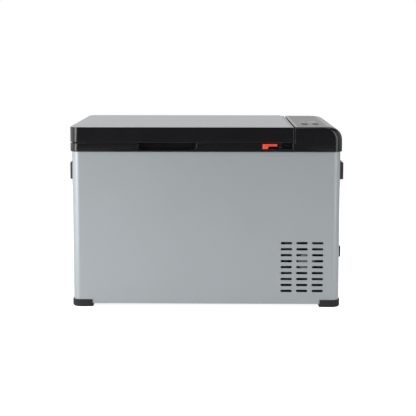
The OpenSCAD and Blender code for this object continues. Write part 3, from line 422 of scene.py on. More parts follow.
def grain_group():
    """Surface grain: height is fine noise over coarse, shade a slow cloud, and fleck scattered specks."""
    tree, start, end = node_group(
        "surface_grain", {"Scale": 900.0, "Stretch": 1.0, "Cloud": 9.0}, ("Height", "Shade", "Fleck")
    )
    coarse_scale, coarse_share, fleck_scale = 0.22, 0.4, 2600.0
    coords = tree.nodes.new("ShaderNodeTexCoord").outputs["Object"]
    apart = tree.nodes.new("ShaderNodeSeparateXYZ")
    tree.links.new(coords, apart.inputs[0])
    joined = tree.nodes.new("ShaderNodeCombineXYZ")
    stretched = maths(tree, "DIVIDE", apart.outputs[0], start.outputs["Stretch"])
    for value, socket in zip((stretched, apart.outputs[1], apart.outputs[2]), joined.inputs):
        tree.links.new(value, socket)
    fine = noise(tree, joined.outputs[0], start.outputs["Scale"], detail=3.0, roughness=0.6)
    wide = maths(tree, "MULTIPLY", start.outputs["Scale"], coarse_scale)
    coarse = noise(tree, joined.outputs[0], wide)
    height = maths(
        tree, "ADD", maths(tree, "MULTIPLY", fine, 1 - coarse_share),
        maths(tree, "MULTIPLY", coarse, coarse_share),
    )
    tree.links.new(height, end.inputs["Height"])
    cloud = noise(tree, coords, start.outputs["Cloud"], detail=4.0, roughness=0.6)
    tree.links.new(cloud, end.inputs["Shade"])
    fleck = ramp(tree, noise(tree, coords, fleck_scale, detail=1.0), start=0.62, gain=6.0)
    tree.links.new(fleck, end.inputs["Fleck"])
    return tree


def wear_group():
    """Edge wear: how far the rounded normal leans from the true one, broken up by noise, from 0 to 1."""
    tree, start, end = node_group("edge_wear", {"Radius": 0.0012, "Amount": 0.5}, ("Wear",))
    lean_gain = 3.0
    bevel = tree.nodes.new("ShaderNodeBevel")
    bevel.samples = 4
    tree.links.new(start.outputs["Radius"], bevel.inputs["Radius"])
    true = tree.nodes.new("ShaderNodeNewGeometry")
    dot = tree.nodes.new("ShaderNodeVectorMath")
    dot.operation = "DOT_PRODUCT"
    tree.links.new(bevel.outputs[0], dot.inputs[0])
    tree.links.new(true.outputs["Normal"], dot.inputs[1])
    lean = maths(tree, "MULTIPLY", maths(tree, "SUBTRACT", 1.0, dot.outputs["Value"]), lean_gain, True)
    coords = tree.nodes.new("ShaderNodeTexCoord").outputs["Object"]
    broken = ramp(tree, noise(tree, coords, 120.0, detail=4.0, roughness=0.7), start=0.38, gain=4.0)
    worn = maths(tree, "MULTIPLY", maths(tree, "MULTIPLY", lean, broken), start.outputs["Amount"], True)
    tree.links.new(worn, end.inputs["Wear"])
    return tree


def dust_group():
    """Dust: upward faces under a slow cloud of noise, from 0 to 1."""
    tree, start, end = node_group("settled_dust", {"Amount": 0.1}, ("Dust",))
    coords = tree.nodes.new("ShaderNodeTexCoord")
    apart = tree.nodes.new("ShaderNodeSeparateXYZ")
    tree.links.new(coords.outputs["Normal"], apart.inputs[0])
    upward = maths(tree, "POWER", maths(tree, "MAXIMUM", apart.outputs[2], 0.0), 2.0)
    cloud = noise(tree, coords.outputs["Object"], 34.0, detail=5.0, roughness=0.7)
    dust = maths(tree, "MULTIPLY", maths(tree, "MULTIPLY", upward, cloud), start.outputs["Amount"], True)
    tree.links.new(dust, end.inputs["Dust"])
    return tree


GROUP_MAKERS = {"grain": grain_group, "wear": wear_group, "dust": dust_group}
GROUPS = {}
FINISHES = {}
FLECK_TONE = (0.9, 0.9, 0.9)
DUST_TONE = (0.45, 0.43, 0.4)


def group_node(tree, name, **values):
    """Places one of the shared groups in a material with its own values."""
    if name not in GROUPS:
        GROUPS[name] = GROUP_MAKERS[name]()
    node = tree.nodes.new("ShaderNodeGroup")
    node.node_tree = GROUPS[name]
    for label, value in values.items():
        node.inputs[label].default_value = value
    return node


def blend_colour(tree, mask, a, b):
    """Mix of two colours, each a socket or an RGB triple, by a mask socket."""
    node = tree.nodes.new("ShaderNodeMix")
    node.data_type = "RGBA"
    tree.links.new(mask, node.inputs["Factor"])
    # A mix node's colour sockets are inputs 6 and 7 and output 2
    for socket, value in ((node.inputs[6], a), (node.inputs[7], b)):
        if isinstance(value, bpy.types.NodeSocket):
            tree.links.new(value, socket)
        else:
            socket.default_value = (*value, 1.0)
    return node.outputs[2]


def finish_of(
    name, colour, roughness, metallic=0.0, scale=900.0, stretch=1.0, depth=0.00004, cloud=9.0,
    shade=0.06, fleck=0.0, wear=0.0, wear_colour=(0.6, 0.6, 0.6), dust=0.0, specular=0.5,
    spread=0.05, **sockets
):
    """Procedural finish: clouded colour, flecks, worn edges, dust, and grain as bump and roughness."""
    if name in FINISHES:
        return FINISHES[name]
    made = bpy.data.materials.new(name)
    made.use_nodes = True
    tree = made.node_tree
    shader = tree.nodes["Principled BSDF"]
    grain = group_node(tree, "grain", Scale=scale, Stretch=stretch, Cloud=cloud)
    dark = tuple(c * (1 - 2 * shade) for c in colour)
    light = tuple(min(c * (1 + 2 * shade), 1) for c in colour)
    tone = blend_colour(tree, grain.outputs["Shade"], dark, light)
    if fleck:
        mask = maths(tree, "MULTIPLY", grain.outputs["Fleck"], fleck)
        tone = blend_colour(tree, mask, tone, FLECK_TONE)
    if wear:
        worn = group_node(tree, "wear", Amount=wear).outputs["Wear"]
        tone = blend_colour(tree, worn, tone, wear_colour)
    if dust:
        settled = group_node(tree, "dust", Amount=dust).outputs["Dust"]
        tone = blend_colour(tree, settled, tone, DUST_TONE)
    tree.links.new(tone, shader.inputs["Base Color"])
    swing = maths(tree, "MULTIPLY", maths(tree, "SUBTRACT", grain.outputs["Shade"], 0.5), 2 * spread)
    rough = maths(tree, "ADD", swing, roughness, True)
    tree.links.new(rough, shader.inputs["Roughness"])
    bump = tree.nodes.new("ShaderNodeBump")
    bump.inputs["Distance"].default_value = depth
    tree.links.new(grain.outputs["Height"], bump.inputs["Height"])
    tree.links.new(bump.outputs[0], shader.inputs["Normal"])
    values = {"Metallic": metallic, "Specular IOR Level": specular, **sockets}
    for label, value in values.items():
        shader.inputs[label.replace("_", " ")].default_value = value
    FINISHES[name] = made
    return made


def casing_paint(looks):
    """Satin silver powder coat of the casing."""
    return finish_of(
        "casing_paint", looks.casing_colour, 0.42, metallic=0.35, scale=700, depth=0.00003,
        shade=0.012, fleck=0.05, wear=0.25, wear_colour=(0.75, 0.77, 0.78), dust=0.03, spread=0.03,
    )


def lit_lid_paint(looks):
    """The same coat on the lid's sheet. Its colour and its worn-edge colour are painted lighter than the
    casing's, as painted light on the top.
    """
    return finish_of(
        "lit_lid_paint", looks.lit_lid_colour, 0.38, metallic=0.35, scale=700, depth=0.00003,
        shade=0.012, fleck=0.05, wear=0.3, wear_colour=(0.8, 0.81, 0.82), dust=0.03, spread=0.03,
    )


def band_plastic(looks):
    """Fine-grained black moulding of the band, lid rim and housing."""
    return finish_of(
        "band_plastic", looks.plastic_colour, 0.22, scale=1500, depth=0.00002, shade=0.1,
        wear=0.12, wear_colour=(0.05, 0.05, 0.055), dust=0.03, specular=0.4,
    )


def dark_plastic(looks):
    """Coarser black moulding of the grips, inlet, fan, keeper and base pan."""
    return finish_of(
        "dark_plastic", looks.plastic_colour, 0.5, scale=1100, depth=0.00005, shade=0.12,
        wear=0.15, wear_colour=(0.1, 0.1, 0.1), dust=0.04, specular=0.4,
    )


def rubber():
    """Dull black rubber of the feet, grommets, harness and drain bung."""
    return finish_of(
        "foot_rubber", (0.016, 0.016, 0.018), 0.72, scale=1300, depth=0.00008, shade=0.15,
        wear=0.3, wear_colour=(0.12, 0.12, 0.12), dust=0.1, specular=0.3,
    )


def gasket_rubber():
    """Grey rubber of the lid's seal."""
    return finish_of(
        "gasket_rubber", (0.1, 0.1, 0.105), 0.6, scale=900, depth=0.00005, specular=0.3
    )


def liner_plastic(looks):
    """White moulded liner of the tub and the lid."""
    return finish_of(
        "liner_plastic", looks.liner_colour, 0.32, scale=600, depth=0.00003, shade=0.015, dust=0.01
    )


def insulation_foam():
    """Dull yellow foam between the shells."""
    return finish_of(
        "insulation_foam", (0.68, 0.55, 0.32), 0.9, scale=500, depth=0.0003, shade=0.1, specular=0.2
    )


def lens_plastic():
    """Frosted cover of the lamp."""
    return finish_of("lens_plastic", (0.85, 0.85, 0.82), 0.3, scale=500)


def wire_coat():
    """White coat of the basket's wires."""
    return finish_of("wire_coat", (0.8, 0.81, 0.8), 0.35, scale=900, depth=0.00004, shade=0.03)


def latch_plastic(looks):
    """Coloured plastic of the latch's slider."""
    return finish_of(
        "latch_plastic", looks.latch_colour, 0.36, scale=1200, depth=0.00002, shade=0.04,
        wear=0.15, wear_colour=(0.9, 0.25, 0.15),
    )


def panel_film():
    """Black film over the control panel."""
    return finish_of(
        "panel_film", (0.012, 0.012, 0.013), 0.3, scale=1500, depth=0.00002, shade=0.08, dust=0.02
    )


def smoked_window():
    """Dark window over the display."""
    return finish_of(
        "smoked_window", (0.006, 0.007, 0.009), 0.27, scale=1500, depth=0.00001, shade=0.05, dust=0.02
    )


def key_caps():
    """Black plastic of the keys."""
    return finish_of(
        "key_caps", (0.02, 0.02, 0.022), 0.32, scale=1200, depth=0.00003, wear=0.2,
        wear_colour=(0.15, 0.15, 0.15),
    )


def key_marks():
    """Pale print on the keys."""
    return finish_of("key_marks", (0.55, 0.56, 0.56), 0.5, scale=1500, shade=0.05)


def display_glow(looks):
    """Lit bars of the display's number."""
    return finish_of(
        "display_glow", looks.digit_colour, 0.4, shade=0.02,
        Emission_Color=(*looks.digit_colour, 1), Emission_Strength=0.35,
    )


def circuit_board():
    """Green board behind the panel."""
    return finish_of("circuit_board", (0.01, 0.09, 0.04), 0.4, scale=300, shade=0.2)


def zinc():
    """Bright zinc-plated steel."""
    return finish_of(
        "zinc_steel", (0.62, 0.63, 0.65), 0.34, metallic=0.95, scale=1600, depth=0.00003,
        cloud=60, shade=0.07, wear=0.2, wear_colour=(0.85, 0.85, 0.86), spread=0.1,
    )


def screw_steel():
    """Bright steel of the screws and the hinge pins."""
    return finish_of(
        "screw_steel", (0.5, 0.5, 0.52), 0.3, metallic=1.0, scale=2500, depth=0.00002,
        cloud=90, shade=0.1, spread=0.1,
    )


def contact_brass():
    """Brass of the inlet's contacts."""
    return finish_of("contact_brass", (0.8, 0.6, 0.25), 0.3, metallic=1.0, cloud=90)


def copper():
    """Drawn copper tube with a little tarnish."""
    return finish_of(
        "copper_tube", (0.78, 0.36, 0.2), 0.32, metallic=1.0, scale=800, depth=0.00003,
        cloud=50, shade=0.14, spread=0.14,
    )


def winding_copper():
    """Varnished copper of the motor's windings."""
    return finish_of("winding", (0.45, 0.16, 0.05), 0.4, metallic=0.6, scale=900, stretch=8)


def aluminium():
    """Mill-finish aluminium, drawn along X."""
    return finish_of(
        "mill_aluminium", (0.75, 0.76, 0.77), 0.38, metallic=1.0, scale=1200, stretch=20,
        depth=0.00003, cloud=30, shade=0.05, spread=0.08,
    )


def enamel_and_bay_shade():
    """Black enamel of the compressor. On the condenser the black is partly its coat and partly painted
    shade of the enclosed bay behind the vents.
    """
    return finish_of("compressor_paint", (0.02, 0.02, 0.022), 0.35, scale=500, depth=0.00006)


def label_paper():
    """Mottled grey label on the fan's hub."""
    return finish_of(
        "fan_label", (0.16, 0.16, 0.155), 0.6, scale=420, depth=0.00002, shade=0.35, cloud=420,
        specular=0.2,
    )


# --------------------------------------------------------------- properties


def shade_of(name, text, rgb):
    """Colour property with a default in linear RGB."""
    return bpy.props.FloatVectorProperty(
        name=name, description=text, subtype="COLOR", size=3, min=0, max=1, default=rgb
    )


def length_of(name, text, value, low, high):
    """Length property in metres."""
    return bpy.props.FloatProperty(
        name=name, description=text, unit="LENGTH", default=value, min=low, max=high, precision=4
    )


class CoolerSizes(bpy.types.PropertyGroup):
    """Sizes of the fine pieces."""

    plastic_edge: length_of("Plastic edge", "Rounding of the moulded edges", 0.0009, 0.0002, 0.0015)
    steel_edge: length_of("Steel edge", "Rounding of the sheet's edges", 0.0003, 0.0001, 0.0004)
    wire_r: length_of("Wire radius", "Radius of the basket's wires", 0.0012, 0.0008, 0.002)
    rim_r: length_of("Rim radius", "Radius of the basket's rim", 0.0019, 0.001, 0.003)
    wire_pitch: length_of("Wire pitch", "Spacing of the basket's wires", 0.025, 0.012, 0.05)
    rib_pitch: length_of("Rib pitch", "Spacing of the slider's grip ribs", 0.0022, 0.001, 0.005)
    foot_round: length_of("Foot rounding", "Rounding of the feet's lower edges", 0.0035, 0.001, 0.004)


class CoolerLooks(bpy.types.PropertyGroup):
    """Colours of the finishes."""

    casing_colour: shade_of("Casing", "Silver coat of the casing", (0.345, 0.37, 0.387))
    # The lid's colour is the casing's coat painted lighter: painted light on the lid's top.
    lit_lid_colour: shade_of("Lid", "Silver coat of the lid", (0.42, 0.435, 0.445))
    plastic_colour: shade_of("Plastic", "Black moulded plastic", (0.005, 0.005, 0.006))
    latch_colour: shade_of("Latch", "Slider of the latch", (0.78, 0.05, 0.018))
    liner_colour: shade_of("Liner", "Tub and lid lining", (0.74, 0.75, 0.74))
    digit_colour: shade_of("Digits", "Glow of the display", (0.35, 0.75, 1.0))


class CoolerStudio(bpy.types.PropertyGroup):
    """Camera and light."""

    lens: bpy.props.FloatProperty(
        name="Lens", description="Focal length on a 36 mm wide sensor", subtype="DISTANCE_CAMERA",
        default=94.24, min=20, max=300,
    )
    pitch: bpy.props.FloatProperty(
        name="Pitch", description="How far the camera looks down", subtype="ANGLE",
        default=math.radians(6.242), min=0, max=1.5,
    )
    yaw: bpy.props.FloatProperty(
        name="Yaw", description="How far the camera turns left", subtype="ANGLE",
        default=math.radians(0.88), min=-1, max=1,
    )
    floor_radius: length_of("Floor radius", "Radius of the pale floor", 1.9, 0.5, 10)
    fill: bpy.props.FloatProperty(
        name="Fill", description="Strength of the even light from all round", default=0.08,
        min=0, max=2,
    )


# ------------------------------------------------------------------ pieces


KEY_BODIES = {
    "button_power": "power_button", "button_set": "set_button",
    "button_up": "up_button", "button_down": "down_button",
}
FEET = ("foot_front_left", "foot_front_right", "foot_rear_left", "foot_rear_right")
PRINT_LIFT = 0.06 * MM  # thickness of what is printed or lit on a face


class COOLER_OT_casing(bpy.types.Operator):
    """Coats the steel casing, its rear panel and the pan under it, and makes the rear screws."""

    bl_idname = "cooler.casing"
    bl_label = "Casing"

    def execute(self, context):
        sizes, looks = context.scene.cooler_sizes, context.scene.cooler_looks
        paint(casing_paint(looks), "outer_casing", "rear_panel")
        paint(dark_plastic(looks), "base_pan")
        soften("outer_casing", sizes.steel_edge, whole=True)
        soften("rear_panel", sizes.steel_edge, whole=True)
        head_r, head_h = 3.4 * MM, 1.8 * MM
        cross_screws(
            "rear_panel_screws", "rear_screws", (0, 1, 0), "root", screw_steel(), head_r, head_h
        )
        return {"FINISHED"}


class COOLER_OT_band(bpy.types.Operator):
    """Rounds the black band and its raised housing, apart from the edges that other pieces cover."""

    bl_idname = "cooler.band"
    bl_label = "Top band"

    def execute(self, context):
        sizes, looks = context.scene.cooler_sizes, context.scene.cooler_looks
        far = 1.0
        seam = corners("lid_gasket")[0][2]
        left = corners("lid_frame")[1][0]
        front = corners("top_band")[0][1]
        joint = ((left, front - far, seam - 3 * MM), (far, far, seam + 3 * MM))
        deck = corners("tub_liner")[1][2]
        under = ((-far, -far, deck - 0.2 * MM), (far, far, deck + 0.2 * MM))
        moulded_copy(
            "band_moulding", "top_band", band_plastic(looks),
            [(
                sizes.plastic_edge, EDGE_STEPS,
                lambda ends: ~within(ends, *joint) & ~within(ends, *under),
            )],
        )
        return {"FINISHED"}


class COOLER_OT_lid(bpy.types.Operator):
    """Finishes the lid's rim, sheet, lining and foam, and makes its seal."""

    bl_idname = "cooler.lid"
    bl_label = "Lid"

    def execute(self, context):
        sizes, looks = context.scene.cooler_sizes, context.scene.cooler_looks
        paint(band_plastic(looks), "lid_frame")
        paint(lit_lid_paint(looks), "lid_top_panel")
        paint(liner_plastic(looks), "lid_inner")
        paint(insulation_foam(), "lid_foam", "foam_block")
        soften("lid_frame", sizes.plastic_edge)
        soften("lid_top_panel", sizes.steel_edge)
        soften("lid_inner", sizes.plastic_edge)
        low, high = corners("lid_gasket")
        seal_round = 37 * MM
        plan, out = outline(low[:2], high[:2], seal_round, 12)
        seal = carried(plan, out, self.section(low[2], high[2]))
        make_piece("gasket_seal", [seal], "lid", gasket_rubber(), ("lid_gasket",))
        return {"FINISHED"}

    def section(self, low, high):
        """Closed section of the seal, as (offset, height): a flat foot on a round bulb."""
        bulb_r, middle = 4.2, (-6, 4.25)
        near, far, thick = -0.2, -11.8, 1.8
        angle = np.radians(np.linspace(150, 390, 15))
        bulb = (middle + bulb_r * np.stack([np.cos(angle), np.sin(angle)], -1)) * MM + (0, low)
        foot = np.array([[near, -thick], [near, 0], [far, 0], [far, -thick]]) * MM + (0, high)
        return np.concatenate([bulb, foot, bulb[:1]])


class COOLER_OT_controls(bpy.types.Operator):
    """Finishes the control panel, its window and its keys, and makes the number and the keys' marks."""

    bl_idname = "cooler.controls"
    bl_label = "Controls"

    def execute(self, context):
        paint(panel_film(), "control_panel")
        paint(smoked_window(), "display_window")
        paint(circuit_board(), "control_board")
        paint(key_caps(), *KEY_BODIES)
        for key in KEY_BODIES:
            soften(key, 0.3 * MM)
        low, high = corners("display_window")
        digit_step, bar_w, line_w = 12 * MM, 1.3 * MM, 0.8 * MM
        runs = []
        for place, name in enumerate(("minus", "one", "eight"), start=-1):
            runs += self.digit((low + high)[:2] / 2 + (place * digit_step, 0), name)
        make_piece(
            "display_digits", flat_bars(runs, bar_w, high[2], high[2] + PRINT_LIFT), "root",
            display_glow(context.scene.cooler_looks), sharp=20,
        )
        for key, body in KEY_BODIES.items():
            low, high = corners(key)
            runs = self.symbol(key) * MM + (low + high)[:2] / 2
            make_piece(
                key + "_mark", flat_bars(runs, line_w, high[2], high[2] + PRINT_LIFT), body,
                key_marks(), sharp=20,
            )
        return {"FINISHED"}

    def digit(self, middle, name):
        """Runs of a seven-bar digit: bars between the six corners of a two-storey rectangle."""
        half, tall, gap = 3.6 * MM, 7.2 * MM, 0.9 * MM
        places = {
            (i, j): middle + np.array([i * half, j * tall]) for i in (-1, 1) for j in (-1, 0, 1)
        }
        bars = {
            "minus": [((-1, 0), (1, 0))],
            "one": [((1, -1), (1, 0)), ((1, 0), (1, 1))],
        }
        bars["eight"] = bars["minus"] + bars["one"] + [
            ((-1, -1), (-1, 0)), ((-1, 0), (-1, 1)), ((-1, -1), (1, -1)), ((-1, 1), (1, 1)),
        ]
        runs = []
        for a, b in bars[name]:
            start, end = places[a], places[b]
            along = (end - start) / np.linalg.norm(end - start)
            runs.append((start + along * gap, end - along * gap))
        return runs

    def symbol(self, key):
        """Runs of a key's mark in millimetres: an open ring with a bar, three lines, or an arrow."""
        if key == "button_power":
            ring_r, bar = 2.6, [[0, 0.4], [0, 3.2]]
            angle = np.radians(np.linspace(130, 410, 15))
            ring = ring_r * np.stack([np.cos(angle), np.sin(angle)], -1)
            return np.concatenate([np.stack([ring[:-1], ring[1:]], 1), [bar]])
        if key == "button_set":
            half, gap = 2.4, 2.0
            return np.array([[[-half, y], [half, y]] for y in (-gap, 0, gap)])
        up = 1 if key == "button_up" else -1
        half, foot, tip = 2.6, -1.3 * up, 1.5 * up
        return np.array([[[-half, foot], [0, tip]], [[0, tip], [half, foot]]])


class COOLER_OT_latch(bpy.types.Operator):
    """Makes the latch's slider with its grip ribs, and finishes its retainer and keeper."""

    bl_idname = "cooler.latch"
    bl_label = "Latch"

    def execute(self, context):
        sizes, looks = context.scene.cooler_sizes, context.scene.cooler_looks
        red = latch_plastic(looks)
        edge = 0.5 * MM
        moulded_copy("slider_body", "latch_slider", red, [(edge, EDGE_STEPS, every_edge)])
        low, high = corners("latch_slider")
        sunk, rib_r, margin = 0.05 * MM, 0.5 * MM, 1.5 * MM
        front = low[1] + sunk
        places = np.arange(low[0] + 1.9 * MM, low[0] + 10.8 * MM, sizes.rib_pitch)
        ribs = [rod((x, front, low[2] + margin), (x, front, high[2] - margin), rib_r) for x in places]
        make_piece("slider_ribs", ribs, "latch", red)
        paint(dark_plastic(looks), "latch_keeper", "latch_retainer")
        return {"FINISHED"}


class COOLER_OT_machinery(bpy.types.Operator):
    """Finishes what shows through the vents and what lies behind them."""

    bl_idname = "cooler.machinery"
    bl_label = "Machinery"

    def execute(self, context):
        looks = context.scene.cooler_looks
        paint(dark_plastic(looks), "fan_frame", "fan_rotor", "fan_screws", "inverter_module")
        paint(aluminium(), "bulkhead", "evaporator_sheet", "evaporator_tube")
        paint(
            copper(), "filter_drier", "discharge_pipe", "suction_pipe", "liquid_line", "capillary_tube"
        )
        paint(zinc(), "compressor_bracket", "compressor_bolts")
        paint(screw_steel(), "foot_screws", "hinge_pins")
        # The condenser's fins, tube and bracket take the compressor's black. It is partly their coat and
        # partly painted shade inside the vented bay.
        paint(
            enamel_and_bay_shade(), "compressor_lower_shell", "compressor_upper_shell",
            "condenser_fins", "condenser_tube", "condenser_bracket",
        )
        paint(winding_copper(), "compressor_motor")
        paint(rubber(), "compressor_grommets", "wiring_harness")
        self.hub_label()
        return {"FINISHED"}

    def hub_label(self):
        """Thin disc on the front of the fan's hub, its edge slightly rounded."""
        low, high = corners("fan_rotor")
        front = corners("fan_frame")[0][1]
        hub = ((low[0] + high[0]) / 2, front, (low[2] + high[2]) / 2)
        hole, flat, edge, rim = 0.2, 14, 17.4, 17.6
        back, middle, face = 0.05, 0.15, 0.25
        disc = [
            [hole, back], [flat, back], [edge, back], [rim, middle],
            [edge, face], [flat, face], [hole, face],
        ]
        label = turned(hub, (0, -1, 0), np.array(disc) * MM, 48)
        make_piece("fan_label", [label], "root", label_paper())


class COOLER_OT_fittings(bpy.types.Operator):
    """Makes the grips, the inlet and the feet, and finishes the hinges and their screws."""

    bl_idname = "cooler.fittings"
    bl_label = "Fittings"

    def execute(self, context):
        sizes, looks = context.scene.cooler_sizes, context.scene.cooler_looks
        for node in ("handle_left", "handle_right", "inlet_housing"):
            moulded_copy(
                node.replace("handle", "grip") + "_moulding", node, dark_plastic(looks),
                [(sizes.plastic_edge, EDGE_STEPS, every_edge)],
            )
        for node in FEET:
            self.foot(node, sizes.foot_round)
        head_r, head_h = 3.4 * MM, 2 * MM
        cross_screws("grip_screws", "handle_screws", None, "root", screw_steel(), head_r, head_h)
        for name, node, body in (
            ("hinge_screws_lid", "hinge_leaves_lid", "lid"),
            ("hinge_screws_band", "hinge_leaves_band", "root"),
        ):
            self.leaf_screws(name, node, body)
            paint(zinc(), node)
            soften(node, 0.35 * MM)
        paint(contact_brass(), "inlet_contacts")
        return {"FINISHED"}

    def foot(self, node, ground_round):
        """A foot with its ground edges well rounded, its top edges a little and its screw hole not."""
        low, high = corners(node)
        hole = next(
            ends for ends in solids("foot_screws")
            if (ends[0][:2] > low[:2]).all() and (ends[1][:2] < high[:2]).all()
        )
        near, far = hole[0] - 2 * MM, hole[1] + 2 * MM
        near[2] = -1
        ground, top_z, top_round = 0.1 * MM, 6 * MM, 0.7 * MM
        moulded_copy(node + "_pad", node, rubber(), [
            (ground_round, 4, lambda ends: (ends[:, :, 2] < ground).all(1) & ~within(ends, near, far)),
            (top_round, EDGE_STEPS, lambda ends: (ends[:, :, 2] > top_z).all(1)),
        ])

    def leaf_screws(self, name, node, body):
        """Three cross-recessed screws across each hinge leaf, clear of its barrel."""
        low, high = corners(node)
        pins = solids("hinge_pins")
        barrel_r, leaf_t = 5.8 * MM, 2 * MM
        head_r, head_h = 2.9 * MM, 1.3 * MM
        axis_z = (pins[0][0][2] + pins[0][1][2]) / 2
        leaf = (axis_z + barrel_r, high[2]) if body == "lid" else (low[2], axis_z - barrel_r)
        grids = []
        for start, end in pins:
            for share in (0.14, 0.5, 0.86):
                x = start[0] + share * (end[0] - start[0])
                place = (x, low[1] + leaf_t, sum(leaf) / 2)
                grids.append(screw_head(place, (0, 1, 0), head_r, head_h))
        make_piece(name, grids, body, screw_steel(), sharp=35)


class COOLER_OT_tub(bpy.types.Operator):
    """Makes the tub's lining, its lamp cover, the wire basket and the drain bung."""

    bl_idname = "cooler.tub"
    bl_label = "Tub"

    def execute(self, context):
        sizes, looks = context.scene.cooler_sizes, context.scene.cooler_looks
        moulded_copy(
            "tub_lining", "tub_liner", liner_plastic(looks),
            [(sizes.plastic_edge, EDGE_STEPS, every_edge)],
        )
        cover = self.lamp_cover()
        make_piece("lamp_cover", cover, "root", lens_plastic(), ("light_lens",))
        wires = self.wires(sizes.wire_r, sizes.rim_r, sizes.wire_pitch)
        make_piece("wire_frame", wires, "wire_basket", wire_coat(), ("basket",))
        make_piece("drain_bung", [self.bung()], "drain", rubber(), ("drain_plug",))
        return {"FINISHED"}

    def lamp_cover(self):
        """Grids of a plate with upright half-round flutes along its inner face."""
        low, high = corners("light_lens")
        flute_r, pitch, sunk, margin = 1.1 * MM, 2.4 * MM, 1.2 * MM, 1.5 * MM
        face = low[0] + sunk
        plate = solid_box(low + (sunk, 0, 0), high, 0.8 * MM)
        places = np.arange(low[1] + 3 * MM, high[1] - 2 * MM, pitch)
        flutes = [
            rod((face, y, low[2] + margin), (face, y, high[2] - margin), flute_r) for y in places
        ]
        return [plate, *flutes]

    def wires(self, wire_r, rim_r, pitch):
        """Grids of a welded basket: U-shaped wires both ways, hoops round them and a thicker rim."""
        low, high = corners("basket")
        corner_r, hoops, lowest, highest = 9 * MM, 4, 28 * MM, 30 * MM
        top = high[2] - rim_r
        grids = []
        for along, across, inset in ((0, 1, wire_r), (1, 0, 3 * wire_r)):
            start, end = low + inset, high - inset
            count = int(round((end[along] - start[along]) / pitch))
            for k in range(1, count):
                path = np.empty((4, 3))
                path[:, along] = low[along] + k * (high[along] - low[along]) / count
                path[:, across] = start[across], start[across], end[across], end[across]
                path[:, 2] = top, start[2], start[2], top
                grids.append(bent_rod(rounded_path(path, corner_r), wire_r))
        inner = 3 * wire_r
        plan = outline(low[:2] + inner, high[:2] - inner, corner_r, 5)[0]
        for height in np.linspace(low[2] + lowest, top - highest, hoops):
            grids.append(hoop(plan, height, wire_r))
        plan = outline(low[:2] + rim_r, high[:2] - rim_r, corner_r + 2 * MM, 6)[0]
        grids.append(hoop(plan, top, rim_r, 10))
        return grids

    def bung(self):
        """Grid of a turned bung: a stem with a lead-in, and a knob with a rolled rim and a dished end."""
        low, high = corners("drain_plug")
        tip = ((low[0] + high[0]) / 2, low[1], (low[2] + high[2]) / 2)
        long = (high[1] - low[1]) / MM
        axle, stem, knob = 0.2, 6.9, 11
        neck, dish = long - 4, long - 0.9
        section = [
            [axle, 0], [stem - 0.7, 0], [stem, 1.2], [stem, neck],
            [knob - 0.6, neck], [knob, neck + 0.6], [knob, long - 1.2], [knob - 0.4, long - 0.4],
            [knob - 1.2, long], [knob - 2.4, long], [knob - 3, dish],
            [5, dish], [4.4, long], [axle, long],
        ]
        return turned(tip, (0, 1, 0), np.array(section) * MM, 48)


# ------------------------------------------------------------------- stage

LAMPS = {  # place, aim, size and watts of each soft lamp
    "left_box": ((-1.9, 0.1, 0.8), (0, 0, 0.25), (2.4, 1.6), 22),
    "right_box": ((2.1, 0.1, 0.8), (0, 0, 0.25), (2.2, 1.5), 8),
    "left_strip": ((-1.75, -1.55, 0.7), (0, 0, 0.25), (0.7, 1.6), 36),
    "right_strip": ((1.79, -1.49, 0.7), (0, 0, 0.25), (0.6, 1.6), 14),
    "back_box": ((0, 2.2, 0.9), (0, 0, 0.35), (3.0, 1.6), 12),
    "top_box": ((0, 0.1, 2.2), (0, 0, 0.2), (2.4, 2.0), 20),
    "front_box": ((-0.3, -1.5, 2.4), (0, 0, 0.2), (1.6, 0.9), 6),
}
CAMERA_PLACE = (0.0268, -2.4852, 0.567)
CAMERA_SHIFT = (0.0146, -0.1118)  # shares of the frame's width
WHITE = (1, 1, 1, 1)
FLOOR_GREY = (0.82, 0.82, 0.82, 1)
FLOOR_GLOW, FLOOR_SEEN = 0.35, 0.9  # the floor's own light, to the object and to the eye


def softbox(name, place, aim, size, watts):
    """Soft rectangular lamp at a place, turned to an aim and unseen by the camera."""
    lamp = bpy.data.lights.new(name, "AREA")
    lamp.shape = "RECTANGLE"
    lamp.size, lamp.size_y = size
    lamp.energy = watts
    stand = bpy.data.objects.new(name, lamp)
    bpy.context.scene.collection.objects.link(stand)
    stand.location = place
    away = stand.location - Vector(aim)
    stand.rotation_euler = away.to_track_quat("Z", "Y").to_euler()
    stand.visible_camera = False


def floor_finish():
    """Matt pale floor that glows more to the eye than to the object."""
    pale = bpy.data.materials.new("pale_floor")
    pale.use_nodes = True
    tree = pale.node_tree
    shader = tree.nodes["Principled BSDF"]
    shader.inputs["Base Color"].default_value = FLOOR_GREY
    shader.inputs["Roughness"].default_value = 0.8
    shader.inputs["Specular IOR Level"].default_value = 0.1
    shader.inputs["Emission Color"].default_value = WHITE
    glow = tree.nodes.new("ShaderNodeMapRange")
    glow.inputs["To Min"].default_value = FLOOR_GLOW
    glow.inputs["To Max"].default_value = FLOOR_SEEN
    looked = tree.nodes.new("ShaderNodeLightPath").outputs["Is Camera Ray"]
    tree.links.new(looked, glow.inputs["Value"])
    tree.links.new(glow.outputs[0], shader.inputs["Emission Strength"])
    return pale


